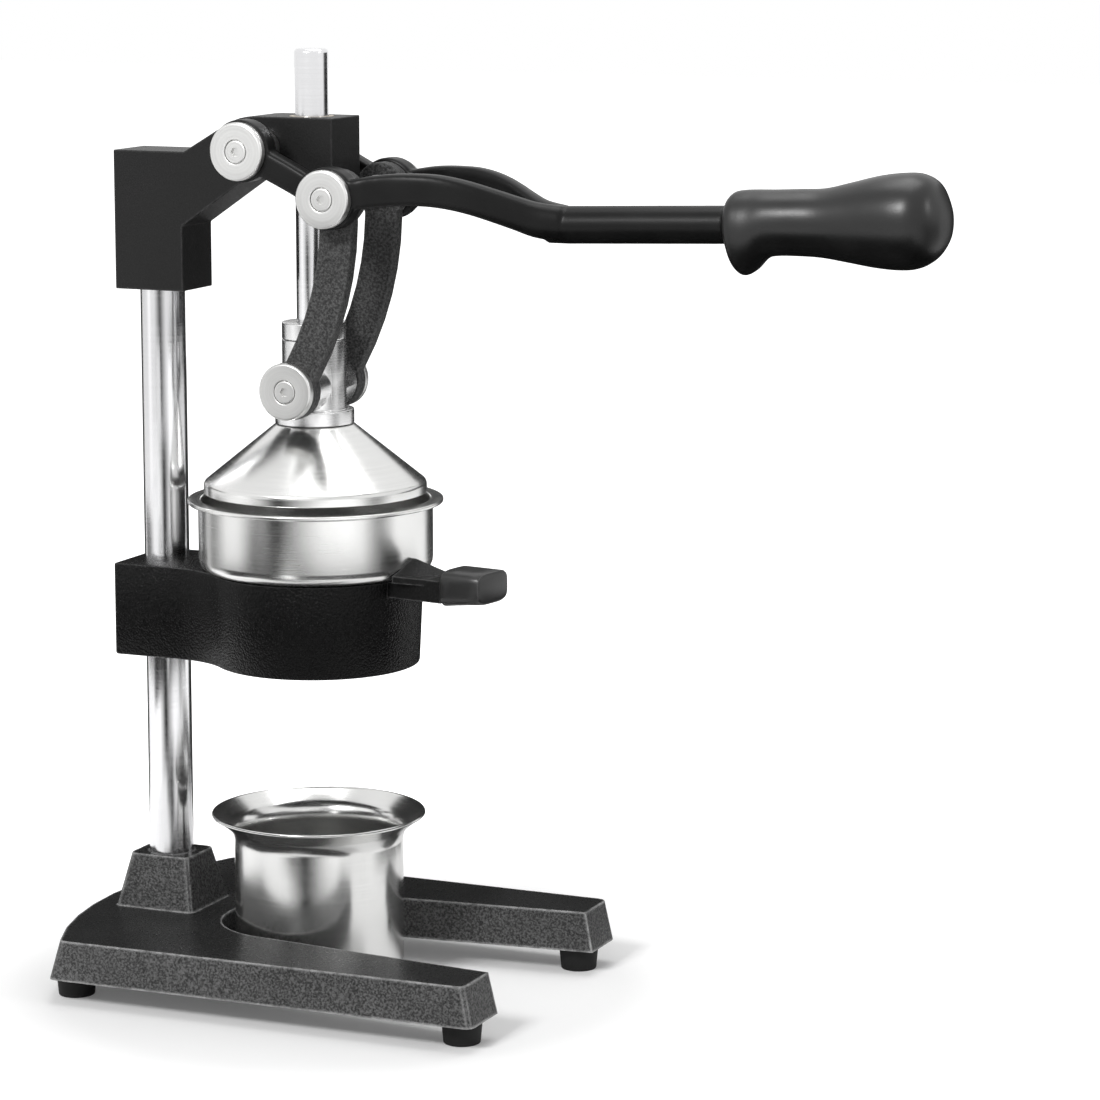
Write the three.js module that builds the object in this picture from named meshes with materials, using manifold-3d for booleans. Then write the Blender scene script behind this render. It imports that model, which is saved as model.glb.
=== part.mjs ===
// Lever citrus juice press: cast stand, chromed column, forked lever linkage, press bell, funnel and cup.
// Millimetres, +Z up. It is drawn from the column's axis, with the counter at zero height, and the whole
// is then moved along X so that the origin lies under the middle of its box.
import * as THREE from 'three';
import { mergeVertices } from 'three/addons/utils/BufferGeometryUtils.js';
import Module from 'manifold-3d';

const wasm = await Module();
wasm.setup();

// Fits shared by every piece
const face_gap = 0.3;
const bore_gap = 0.3;
const overrun = 1.5;

// How finely round things are faceted
const bowl_sides = 36;
const rod_sides = 24;
const eye_sides = 20;
const small_sides = 10;
const hex_sides = 6;

// Base casting: a U with a tapered tower at its rear
const base_height = 22.6;
const base_rear = 38.5;
const base_rear_radius = 231;
const base_front = 227.6;
const base_rear_half = 102.5;
const base_front_half = 99.1;
const base_corner = 5;
const base_outer_draft = 1.1;
const base_rear_draft = 7;
const base_front_draft = 4.8;
const base_inner_draft = 2;
const yard_end = 42;
const yard_end_corner = 42;
const yard_column_half = 42.7;
const yard_front_half = 67;
const tower_height = 29.7;
const tower_top_half_x = 18.5;
const tower_top_half_y = 15.9;
const tower_foot_half_x = 24.6;
const tower_foot_half_y = 23.3;
const tower_corner = 4;
const column_seat = 18;
const bolt_pocket_depth = 9.5;

// Rubber feet and their screws
const foot_height = 13.5;
const foot_radius = 11.2;
const foot_taper = 1.2;
const foot_rear_inset = 21;
const foot_front_inset = 9.6;
const foot_side_inset = 22.5;
const foot_pocket_depth = 6;
const foot_screw_radius = 2.5;
const foot_screw_head = 5;
const foot_screw_head_height = 3;
const foot_screw_grip = 10;

// Column and the bolt that holds it
const column_radius = 12.5;
const column_bolt_radius = 6;
const column_bolt_flats = 19;
const column_bolt_head = 7;
const column_bolt_grip = 26;
const column_washer_radius = 12;
const column_washer_height = 1.6;

// Head casting: column block, slanted arm and ram guide in one even thickness
const head_half = 17.2;
const head_rear = 20.3;
const head_front = 22;
const head_low = 387.4;
const head_high = 464.3;
const arm_under_low = 423.5;
const guide_below_pivot = 16.6;
const guide_above_pivot = 17.1;
const guide_front = 114.3;
const arm_under_end = 62.3;
const arm_top_start = 23.4;
const arm_top_end = 58;
const arm_top_round = 34;
const column_cap_wall = 9;
const set_screw_radius = 4;
const set_screw_length = 6;
const head_set_screw_pitch = 42;

// Ram and its bush
const ram_x = 93.7;
const ram_radius = 9.3;
const ram_top = 521;
const ram_end_chamfer = 1.2;
const bush_wall = 2.7;

// Pivots of the linkage
const main_x = 72;
const main_z = 467.6;
const crank_x = 123;
const crank_z = 443.6;
const cross_z = 337.5;
const link_sag = 9.2;

// Layers of the linkage, measured out from the middle plane
const link_inner = 23.4;
const link_outer = 32;
const tine_inner = 32.4;
const tine_outer = 44;

// Pins, caps and cap screws
const main_pin_radius = 6;
const stub_pin_radius = 5.5;
const stub_head_radius = 8.5;
const stub_head_length = 2.8;
const lever_bush_wall = 2;
const spacer_radius = 11;
const cap_radius = 15.7;
const cap_thickness = 4.4;
const cap_chamfer = 0.9;
const cap_recess_radius = 6.3;
const cap_recess_depth = 2.6;
const cap_screw_radius = 3;
const cap_screw_head = 5.9;
const cap_screw_grip = 9;
const hex_key_flats = 5;
const hex_key_depth = 1.6;

// Lever: two tines, a round shaft and its tang
const eye_radius = 17;
const tine_height = 16.6;
const tine_chamfer = 2;
const tine_merge = 9.5;
const shaft_start_x = 246;
const shaft_start_z = 430.8;
const shaft_end_x = 335.8;
const shaft_end_z = 434;
const shaft_radius = 10.1;
const tang_radius = 6;
const tang_length = 82;

// Plastic grip of the lever
const grip_end_x = 456.8;
const grip_axis_z = 436.6;
const grip_body_radius = 17.4;
const grip_lip_drop = 29;

// Links
const link_half_width = 9.7;
const link_low_eye = 16;
const link_top_eye = 15.2;

// Crosshead, lock collar and press bell
const cross_body_radius = 17.6;
const cross_boss_radius = 15;
const cross_top_rise = 25.5;
const cross_slot_reach = 5.6;
const cross_slot_rise = 1.6;
const ram_socket_rise = 10;
const hub_radius = 21.8;
const hub_top_drop = 12.8;
const collar_height = 9.2;
const hub_height = 8;
const bell_top_radius = 22.9;
const bell_cone_height = 32.4;
const bell_rim_height = 5.8;
const bell_radius = 61.5;
const bell_wall = 3;
const bell_screw_radius = 5;
const bell_screw_head = 9;
const bell_screw_head_height = 4;
const bell_screw_grip = 9;

// Bracket that carries the funnel
const bracket_low = 183;
const bracket_high = 234.9;
const bracket_rear = 18.8;
const bracket_half = 28.3;
const bracket_fillet = 50;
const ring_radius = 59.6;
const ring_taper = 2.5;
const ring_bore = 51.5;
const notch_half = 13;
const notch_depth = 9;
const bracket_set_screw_pitch = 26;

// Funnel bowl and strainer
const funnel_wall = 2;
const funnel_radius = 64.8;
const funnel_corner = 8;
const funnel_flange_radius = 70.6;
const funnel_flange_thickness = 2.3;
const funnel_rim = 275;
const funnel_throat_radius = 49.5;
const spout_radius = 15.5;
const spout_top = 203;
const spout_low = 187;
const strainer_edge_radius = 55.6;
const strainer_rise = 22;
const strainer_wall = 1.8;
const strainer_hole_radius = 2.6;
const strainer_inner_row = 20;
const strainer_outer_row = 36;
const strainer_inner_holes = 6;
const strainer_outer_holes = 10;

// Funnel handle: cast bracket with a ridged pad against the funnel, plastic grip and its screw
const handle_turn_degrees = -10;
const handle_root = 54;
const handle_half = 12;
const handle_step = 65.6;
const handle_neck_rise = 3.5;
const handle_shoulder = 92;
const handle_pad_start = 56;
const handle_pad_half = 16;
const handle_pad_edge = 3.8;
const handle_pad_rise = 11.8;
const handle_ridge_start = 67.5;
const handle_ridge_end = 82;
const handle_ridge_step = 0.5;
const handle_tang_end = 112;
const handle_tang_half = 8;
const handle_tang_cover = 7.6;
const handle_tang_thickness = 5;
const handle_grip_end = 118.4;
const handle_grip_half = 14.7;
const handle_grip_rise = 9.7;
const handle_grip_depth = 20.2;
const handle_grip_tip_depth = 17.2;
const handle_grip_edge = 4.5;
const handle_screw_radius = 2;
const handle_screw_head = 3.6;
const handle_screw_head_height = 1.8;
const handle_screw_sink = 2.4;
const handle_screw_x = 105;

// Cup
const cup_radius = 47.2;
const cup_rim_radius = 59.8;
const cup_height = 97.7;
const cup_flare = 10.8;
const cup_wall = 1.8;
const cup_foot_round = 4;

const floor = 0;
const middle = 0;
const quarter_turn = 90;

// Materials, one per finish in the photograph
function finish(colour, roughness, metalness) {
  return () => new THREE.MeshStandardMaterial({ color: colour, roughness, metalness });
}
const black_cast = finish(0x1b1b1c, 0.55, 0.3);
const dark_cast = finish(0x2b2b2c, 0.6, 0.3);
const chrome = finish(0xdcdde0, 0.12, 1);
const steel = finish(0xc8c8c6, 0.28, 1);
const plain_steel = finish(0xa9abad, 0.4, 1);
const bronze = finish(0xa9814a, 0.4, 1);
const black_plastic = finish(0x151516, 0.3, 0);
const rubber = finish(0x101010, 0.85, 0);

// Closed geometry to solid and back
function solid(geometry) {
  const bare = geometry.clone();
  bare.deleteAttribute('normal');
  bare.deleteAttribute('uv');
  const merged = mergeVertices(bare);
  const place = merged.attributes.position;
  const corners = [new THREE.Vector3(), new THREE.Vector3(), new THREE.Vector3()];
  const kept = [];
  let six_volumes = 0;
  for (let i = 0; i < merged.index.count; i += 3) {
    const tri = [0, 1, 2].map((k) => merged.index.getX(i + k));
    if (new Set(tri).size < tri.length) continue;
    kept.push(...tri);
    tri.forEach((vertex, k) => corners[k].fromBufferAttribute(place, vertex));
    six_volumes += corners[0].dot(corners[1].cross(corners[2]));
  }
  if (six_volumes < 0) kept.reverse();
  return new wasm.Manifold(new wasm.Mesh({
    numProp: 3, vertProperties: new Float32Array(place.array), triVerts: new Uint32Array(kept),
  }));
}

function surface(body) {
  const mesh = body.getMesh();
  const geometry = new THREE.BufferGeometry();
  geometry.setAttribute('position', new THREE.BufferAttribute(mesh.vertProperties, mesh.numProp));
  geometry.setIndex(new THREE.BufferAttribute(mesh.triVerts, 1));
  geometry.computeVertexNormals();
  return geometry;
}

const press = new THREE.Group();

function add_piece(name, body, make_material, group = press) {
  const mesh = new THREE.Mesh(surface(body), make_material());
  mesh.name = name;
  group.add(mesh);
}

// Round bars along each axis, given by their two ends
function bar_z(radius, low, high, x = middle, y = middle, sides = rod_sides, top_radius = radius) {
  const bar = new THREE.CylinderGeometry(top_radius, radius, high - low, sides);
  return solid(bar.rotateX(Math.PI / 2).translate(x, y, (low + high) / 2));
}

function bar_y(radius, from, to, x, z, sides = rod_sides) {
  const bar = new THREE.CylinderGeometry(radius, radius, Math.abs(to - from), sides);
  return solid(bar.translate(x, (from + to) / 2, z));
}

function bar_x(radius, from, to, y, z, sides = rod_sides) {
  const bar = new THREE.CylinderGeometry(radius, radius, Math.abs(to - from), sides);
  return solid(bar.rotateZ(Math.PI / 2).translate((from + to) / 2, y, z));
}

function block(x0, x1, y0, y1, z0, z1) {
  const box = new THREE.BoxGeometry(x1 - x0, y1 - y0, z1 - z0);
  return solid(box.translate((x0 + x1) / 2, (y0 + y1) / 2, (z0 + z1) / 2));
}

// A turned piece: radius and height pairs, closed on the axis or on themselves
function turned(profile, x = middle, y = middle, sides = bowl_sides) {
  const points = profile.map(([radius, height]) => new THREE.Vector2(radius, height));
  return solid(new THREE.LatheGeometry(points, sides).rotateX(Math.PI / 2).translate(x, y, 0));
}

// A flat outline in the side view, thick along Y
function side_plate(outline, from, to) {
  const shape = new THREE.Shape(outline.map(([x, z]) => new THREE.Vector2(x, z)));
  const depth = Math.abs(to - from);
  const plate = new THREE.ExtrudeGeometry(shape, { depth, bevelEnabled: false });
  return solid(plate.rotateX(Math.PI / 2).translate(0, Math.max(from, to), 0));
}

// A skin through rings of points that run counter-clockwise as flat sees them, closed at both ends
function loft(rings, flat) {
  const count = rings[0].length;
  const faces = [];
  for (let ring = 0; ring + 1 < rings.length; ring += 1) {
    for (let i = 0; i < count; i += 1) {
      const a = ring * count + i;
      const b = ring * count + (i + 1) % count;
      faces.push(a, b, a + count, b, b + count, a + count);
    }
  }
  const end_faces = (ring) => {
    const contour = ring.map(flat);
    return THREE.ShapeUtils.triangulateShape(contour, []).map((tri) => {
      const clockwise = THREE.ShapeUtils.isClockWise(tri.map((i) => contour[i]));
      return clockwise ? [tri[0], tri[2], tri[1]] : tri;
    });
  };
  const last = (rings.length - 1) * count;
  end_faces(rings[0]).forEach(([a, b, c]) => faces.push(a, c, b));
  end_faces(rings[rings.length - 1]).forEach(([a, b, c]) => faces.push(last + a, last + b, last + c));
  const places = rings.flat().flatMap((point) => [point.x, point.y, point.z]);
  const geometry = new THREE.BufferGeometry();
  geometry.setAttribute('position', new THREE.Float32BufferAttribute(places, 3));
  geometry.setIndex(faces);
  return solid(geometry);
}

const from_above = (point) => new THREE.Vector2(point.x, point.y);
const from_front = (point) => new THREE.Vector2(point.y, point.z);

// Points on an arc, both ends included, angles in degrees
function arc(x, y, radius, start, end, steps) {
  return Array.from({ length: steps + 1 }, (_, i) => {
    const angle = THREE.MathUtils.degToRad(start + (end - start) * i / steps);
    return [x + radius * Math.cos(angle), y + radius * Math.sin(angle)];
  });
}

const hex_radius = (flats) => flats / 2 / Math.cos(Math.PI / hex_sides);
const sides_of_press = [['near', -1], ['far', 1]];

// Base casting
const base_top = foot_height + base_height;
const tower_top = base_top + tower_height;

function yard_half(x) {
  return yard_column_half + (yard_front_half - yard_column_half) * x / base_front;
}

// The base's outline at one height, grown by a share of its drafts
function base_ring(z, draft_share) {
  const rear_half = base_rear_half + base_outer_draft * draft_share - base_corner;
  const front_half = base_front_half + base_outer_draft * draft_share;
  const front = base_front + base_front_draft * draft_share;
  const inner_growth = base_inner_draft * draft_share;
  const rear_middle = base_rear_radius - base_rear - base_rear_draft * draft_share;
  const reach = base_rear_radius - base_corner;
  const rear_degrees = THREE.MathUtils.radToDeg(Math.asin(rear_half / reach));
  const corner_ahead = rear_middle - Math.sqrt(reach ** 2 - rear_half ** 2);
  const rear = arc(rear_middle, middle, base_rear_radius, 180 - rear_degrees, 180 + rear_degrees, 8);
  const near_rear = arc(corner_ahead, -rear_half, base_corner, 180 + rear_degrees, 270, 3);
  const near_front = arc(front - base_corner, base_corner - front_half, base_corner, 270, 360, 3);
  const inner_front = yard_half(front) - inner_growth;
  const corner_x = yard_end + yard_end_corner;
  const near_yard = arc(
    corner_x, -(yard_half(corner_x) - yard_end_corner), yard_end_corner - inner_growth, 270, 180, 8);
  const near = [...near_rear, ...near_front, [front, -inner_front], ...near_yard];
  const far = near.map(([x, y]) => [x, -y]).reverse();
  return [...rear.slice(1, -1), ...near, ...far].map(([x, y]) => new THREE.Vector3(x, y, z));
}

function tower_ring(z, half_x, half_y) {
  const quarter = (x, y, start) => arc(x, y, tower_corner, start, start + quarter_turn, 3);
  const reach_x = half_x - tower_corner;
  const reach_y = half_y - tower_corner;
  const outline = [
    ...quarter(reach_x, reach_y, 0), ...quarter(-reach_x, reach_y, 90),
    ...quarter(-reach_x, -reach_y, 180), ...quarter(reach_x, -reach_y, 270),
  ];
  return outline.map(([x, y]) => new THREE.Vector3(x, y, z));
}

const feet = [];
const foot_y = base_rear_half - foot_side_inset;
for (const [end, x] of [['rear', foot_rear_inset - base_rear], ['front', base_front - foot_front_inset]]) {
  for (const [side, sign] of sides_of_press) feet.push([`${end}_${side}`, x, sign * foot_y]);
}

const column_foot = foot_height + column_seat;
const bolt_pocket_top = foot_height + bolt_pocket_depth;
let base = loft([
  base_ring(foot_height, 1),
  base_ring(base_top, 0),
], from_above);
const tower_root = base_top - overrun;
base = base.add(loft([
  tower_ring(tower_root, tower_foot_half_x, tower_foot_half_y),
  tower_ring(base_top, tower_foot_half_x, tower_foot_half_y),
  tower_ring(tower_top, tower_top_half_x, tower_top_half_y),
], from_above));
base = base.subtract(bar_z(column_radius + bore_gap, column_foot, tower_top + overrun));
base = base.subtract(bar_z(column_washer_radius + bore_gap, foot_height - overrun, bolt_pocket_top));
base = base.subtract(bar_z(
  column_bolt_radius + bore_gap, foot_height, column_foot + overrun, middle, middle, small_sides));
for (const [, x, y] of feet) {
  const top = foot_height + foot_screw_grip;
  base = base.subtract(bar_z(
    foot_screw_radius + bore_gap, foot_height - overrun, top + face_gap, x, y, small_sides));
}
add_piece('base_casting', base, black_cast);

// Feet: each is a tapered rubber button with a screw up its middle
for (const [place, x, y] of feet) {
  const top = foot_height - face_gap;
  let foot = bar_z(foot_radius - foot_taper, floor, top, x, y, eye_sides, foot_radius);
  foot = foot.subtract(bar_z(
    foot_screw_head + bore_gap, floor - overrun, foot_pocket_depth, x, y, small_sides));
  foot = foot.subtract(bar_z(
    foot_screw_radius + bore_gap, floor, top + overrun, x, y, small_sides));
  add_piece(`foot_${place}`, foot, rubber);
  const head_top = foot_pocket_depth - face_gap;
  const head_low = head_top - foot_screw_head_height;
  const screw = bar_z(foot_screw_head, head_low, head_top, x, y, small_sides)
    .add(bar_z(foot_screw_radius, head_top - overrun, foot_height + foot_screw_grip, x, y, small_sides))
    .subtract(bar_z(hex_radius(foot_screw_radius), head_low - overrun, head_low + hex_key_depth,
      x, y, hex_sides));
  add_piece(`foot_screw_${place}`, screw, plain_steel);
}

// Column, held down by one bolt through the tower's floor
const column_start = column_foot + face_gap;
const column_end = head_high - column_cap_wall - face_gap;
const bolt_top = column_start + column_bolt_grip;
add_piece('column', bar_z(column_radius, column_start, column_end)
  .subtract(bar_z(column_bolt_radius + bore_gap, column_start - overrun, bolt_top + face_gap,
    middle, middle, small_sides)), chrome);

const washer_top = bolt_pocket_top - face_gap;
const washer_low = washer_top - column_washer_height;
add_piece('column_washer', bar_z(column_washer_radius, washer_low, washer_top, middle, middle, eye_sides)
  .subtract(bar_z(column_bolt_radius + bore_gap, washer_low - overrun, washer_top + overrun,
    middle, middle, small_sides)), plain_steel);
const bolt_head_top = washer_low - face_gap;
add_piece('column_bolt', bar_z(
  hex_radius(column_bolt_flats), bolt_head_top - column_bolt_head, bolt_head_top,
  middle, middle, hex_sides)
  .add(bar_z(column_bolt_radius, bolt_head_top - overrun, bolt_top, middle, middle, small_sides)),
plain_steel);

// Set screws at the back of a casting, each bearing on the column
function set_screw_hole(z, rear) {
  return bar_x(set_screw_radius + bore_gap, -rear - overrun, middle, middle, z, small_sides);
}

function add_set_screw(name, z) {
  const tip = -column_radius - face_gap;
  const end = tip - set_screw_length;
  const body = bar_x(set_screw_radius, end, tip, middle, z, small_sides).subtract(bar_x(
    hex_radius(set_screw_radius), end - overrun, end + hex_key_depth, middle, z, hex_sides));
  add_piece(name, body, plain_steel);
}

// Head casting
const guide_low = main_z - guide_below_pivot;
const guide_high = main_z + guide_above_pivot;
const arm_top_slope = Math.atan2(guide_high - head_high, arm_top_end - arm_top_start);
const round_reach = arm_top_round * Math.tan(arm_top_slope / 2);
const slope_degrees = THREE.MathUtils.radToDeg(arm_top_slope);
const head_outline = [
  [-head_rear, head_low], [head_front, head_low], [head_front, arm_under_low],
  [arm_under_end, guide_low], [guide_front, guide_low], [guide_front, guide_high],
  ...arc(arm_top_end + round_reach, guide_high - arm_top_round, arm_top_round, 90, 90 + slope_degrees, 4),
  [arm_top_start, head_high], [-head_rear, head_high],
];
const head_screw_heights = [-1, 1].map((step) => (
  (head_low + head_high) / 2 + step * head_set_screw_pitch / 2));
const bush_radius = ram_radius + bore_gap + bush_wall;
let head = side_plate(head_outline, -head_half, head_half);
head = head.subtract(bar_z(column_radius + bore_gap, head_low - overrun, head_high - column_cap_wall));
head = head.subtract(bar_z(bush_radius + bore_gap, guide_low - overrun, guide_high + overrun, ram_x));
head = head.subtract(bar_y(
  main_pin_radius + bore_gap, -head_half - overrun, head_half + overrun, main_x, main_z, eye_sides));
for (const z of head_screw_heights) head = head.subtract(set_screw_hole(z, head_rear));
add_piece('head_casting', head, black_cast);
head_screw_heights.forEach((z, i) => add_set_screw(`head_set_screw_${i + 1}`, z));

add_piece('guide_bush', bar_z(bush_radius, guide_low, guide_high, ram_x)
  .subtract(bar_z(ram_radius + bore_gap, guide_low - overrun, guide_high + overrun, ram_x)), bronze);

// A pivot's end: a round cap against the outer face, and the socket screw that holds it to the pin
const layer = (side, distance) => side * distance;

function cap_screw_hole(side, seat, x, z) {
  const depth = seat - cap_screw_grip - face_gap;
  return bar_y(cap_screw_radius + bore_gap, layer(side, depth), layer(side, seat + overrun),
    x, z, small_sides);
}

function add_cap(name, side, seat, x, z, group) {
  const inner = seat + face_gap;
  const outer = inner + cap_thickness;
  const profile = [
    [cap_screw_radius + bore_gap, inner], [cap_radius, inner], [cap_radius, outer - cap_chamfer],
    [cap_radius - cap_chamfer, outer], [cap_recess_radius, outer],
    [cap_recess_radius, outer - cap_recess_depth],
    [cap_screw_radius + bore_gap, outer - cap_recess_depth],
    [cap_screw_radius + bore_gap, inner],
  ];
  const points = profile.map(([radius, height]) => new THREE.Vector2(radius, side * height));
  const cap = solid(new THREE.LatheGeometry(points, eye_sides).translate(x, 0, z));
  add_piece(`${name}_cap`, cap, steel, group);
  const head_in = outer - cap_recess_depth + face_gap;
  const screw = bar_y(cap_screw_head, layer(side, head_in), layer(side, outer), x, z, small_sides)
    .add(bar_y(cap_screw_radius, layer(side, seat - cap_screw_grip), layer(side, outer - face_gap),
      x, z, small_sides))
    .subtract(bar_y(hex_radius(hex_key_flats), layer(side, outer - hex_key_depth),
      layer(side, outer + overrun), x, z, hex_sides));
  add_piece(`${name}_screw`, screw, plain_steel, group);
}

// Main pivot: one pin through the head, with spacers out to the tines
let main_pin = bar_y(main_pin_radius, -tine_outer, tine_outer, main_x, main_z, eye_sides);
for (const [, side] of sides_of_press) {
  main_pin = main_pin.subtract(cap_screw_hole(side, tine_outer, main_x, main_z));
}
add_piece('main_pivot_pin', main_pin, plain_steel);
for (const [place, side] of sides_of_press) {
  const inner = head_half + face_gap;
  const outer = tine_inner - face_gap;
  add_piece(`main_spacer_${place}`, bar_y(
    spacer_radius, layer(side, inner), layer(side, outer), main_x, main_z, eye_sides)
    .subtract(bar_y(main_pin_radius + bore_gap, layer(side, inner - overrun),
      layer(side, outer + overrun), main_x, main_z, eye_sides)), plain_steel);
  add_cap(`main_${place}`, side, tine_outer, main_x, main_z, press);
}

// Lever: stations run from the main pivot to the shaft as shares of that reach
const lever_reach = shaft_start_x - main_x;
const crank_share = (crank_x - main_x) / lever_reach;
const lever_station_shares = [
  // Reach, height above the shaft's start, half height and spread, each as a share
  [0, (main_z - shaft_start_z) / lever_reach, 1, 1],
  [crank_share, (crank_z - shaft_start_z) / lever_reach, 1, 1],
  [0.391, 0.0908, 1.01, 1],
  [0.448, 0.0992, 1.03, 0.925],
  [0.506, 0.104, 1.04, 0.845],
  [0.563, 0.1052, 1.04, 0.79],
  [0.621, 0.1029, 1.045, 0.74],
  [0.678, 0.0943, 1.05, 0.681],
  [0.736, 0.0793, 1.05, 0.592],
  [0.793, 0.0586, 1.06, 0.463],
  [0.851, 0.0356, 1.08, 0.309],
  [0.908, 0.0144, 1.1, 0.178],
  [1, 0.001, 0.95, 0.06],
];

function tine_ring(side, station) {
  const [reach_share, rise_share, height_share, spread_share] = station;
  const x = main_x + lever_reach * reach_share;
  const z = shaft_start_z + lever_reach * rise_share;
  const half = tine_height / 2 * height_share;
  const y = side * (tine_inner + tine_outer) / 2 * spread_share;
  const wide = (tine_outer - tine_inner) / 2;
  const corner = tine_chamfer;
  const section = [
    [wide, -half + corner], [wide, half - corner], [wide - corner, half], [-wide + corner, half],
    [-wide, half - corner], [-wide, -half + corner], [-wide + corner, -half], [wide - corner, -half],
  ];
  return section.map(([across, up]) => new THREE.Vector3(x, y + across, z + up));
}

function round_ring(x, z, radius) {
  return Array.from({ length: eye_sides }, (_, i) => {
    const angle = 2 * Math.PI * i / eye_sides;
    return new THREE.Vector3(x, radius * Math.cos(angle), z + radius * Math.sin(angle));
  });
}

const lever = new THREE.Group();
press.add(lever);
const shaft_slope = (shaft_end_z - shaft_start_z) / (shaft_end_x - shaft_start_x);
let fork = loft([
  round_ring(shaft_start_x - tine_merge, shaft_start_z - tine_merge * shaft_slope, shaft_radius),
  round_ring(shaft_start_x, shaft_start_z, shaft_radius),
  round_ring(shaft_end_x, shaft_end_z, shaft_radius),
], from_front);
const lever_bush_radius = main_pin_radius + bore_gap + lever_bush_wall;
fork = fork.add(bar_x(tang_radius, shaft_end_x - overrun, shaft_end_x + tang_length, middle, shaft_end_z,
  small_sides));
for (const [, side] of sides_of_press) {
  const eye = (x, z) => bar_y(eye_radius, layer(side, tine_inner), layer(side, tine_outer), x, z, rod_sides);
  fork = fork.add(loft(lever_station_shares.map((station) => tine_ring(side, station)), from_front));
  fork = fork.add(eye(main_x, main_z)).add(eye(crank_x, crank_z));
}
for (const [, side] of sides_of_press) {
  const bore = (radius, x, z) => bar_y(radius + bore_gap, layer(side, tine_inner - overrun),
    layer(side, tine_outer + overrun), x, z, eye_sides);
  fork = fork.subtract(bore(lever_bush_radius, main_x, main_z));
  fork = fork.subtract(bore(stub_pin_radius, crank_x, crank_z));
}
add_piece('lever_fork', fork, black_cast, lever);

for (const [place, side] of sides_of_press) {
  const span = [layer(side, tine_inner), layer(side, tine_outer)];
  const past = [layer(side, tine_inner - overrun), layer(side, tine_outer + overrun)];
  add_piece(`lever_bush_${place}`, bar_y(lever_bush_radius, ...span, main_x, main_z, eye_sides)
    .subtract(bar_y(main_pin_radius + bore_gap, ...past, main_x, main_z, eye_sides)), bronze, lever);
  const head_out = link_inner - face_gap;
  const stub = bar_y(stub_pin_radius, layer(side, head_out - overrun), layer(side, tine_outer),
    crank_x, crank_z, eye_sides)
    .add(bar_y(stub_head_radius, layer(side, head_out - stub_head_length), layer(side, head_out),
      crank_x, crank_z, eye_sides))
    .subtract(cap_screw_hole(side, tine_outer, crank_x, crank_z));
  add_piece(`link_pin_${place}`, stub, plain_steel, lever);
  add_cap(`link_pin_${place}`, side, tine_outer, crank_x, crank_z, lever);
}

const grip_start_x = shaft_end_x + face_gap;
const grip_length = grip_end_x - grip_start_x;

// Grip: each station holds a share of the length, then its top, bottom and half width as shares
const grip_station_shares = [
  [0, 0.35, 0.3, 0.45],
  [0.016, 0.7, 0.54, 0.8],
  [0.04, 0.87, 0.85, 0.95],
  [0.08, 0.92, 0.985, 1],
  [0.128, 0.94, 0.9, 1],
  [0.177, 0.95, 0.69, 1],
  [0.225, 0.96, 0.617, 1],
  [0.33, 1, 0.603, 1],
  [0.44, 1.045, 0.617, 1.02],
  [0.554, 1.236, 0.68, 1.13],
  [0.682, 1.466, 0.755, 1.3],
  [0.795, 1.575, 0.78, 1.42],
  [0.875, 1.563, 0.73, 1.4],
  [0.939, 1.33, 0.57, 1.18],
  [0.979, 0.83, 0.345, 0.8],
  [1, 0.31, 0.05, 0.3],
];
const grip_rings = grip_station_shares.map(([along, up, down, wide]) => {
  const top = grip_axis_z + grip_body_radius * up;
  const bottom = grip_axis_z - grip_lip_drop * down;
  return Array.from({ length: eye_sides }, (_, i) => {
    const angle = 2 * Math.PI * i / eye_sides;
    return new THREE.Vector3(
      grip_start_x + grip_length * along,
      grip_body_radius * wide * Math.cos(angle),
      (top + bottom) / 2 + (top - bottom) / 2 * Math.sin(angle),
    );
  });
});
const tang_end = shaft_end_x + tang_length;
add_piece('lever_grip', loft(grip_rings, from_front).subtract(bar_x(
  tang_radius + bore_gap, grip_start_x - overrun, tang_end + face_gap, middle, shaft_end_z, small_sides)),
black_plastic, lever);

// Links: a bent bar with an eye at each end, on one cross pin through the crosshead
const links = new THREE.Group();
press.add(links);
const link_span = Math.hypot(crank_x - ram_x, crank_z - cross_z);
const link_bend_radius = (link_span * link_span / 4 + link_sag * link_sag) / (2 * link_sag);
const link_bend_degrees = THREE.MathUtils.radToDeg(Math.asin(link_span / 2 / link_bend_radius));
const link_lean_degrees = THREE.MathUtils.radToDeg(Math.atan2(crank_x - ram_x, crank_z - cross_z));
const bend_back = link_bend_radius - link_sag;
const lean = THREE.MathUtils.degToRad(link_lean_degrees);
const bend_x = (crank_x + ram_x) / 2 - bend_back * Math.cos(lean);
const bend_z = (crank_z + cross_z) / 2 + bend_back * Math.sin(lean);
const link_steps = 8;

function link_edge(offset, from, to) {
  return arc(bend_x, bend_z, link_bend_radius + offset,
    -link_lean_degrees + from, -link_lean_degrees + to, link_steps);
}

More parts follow.
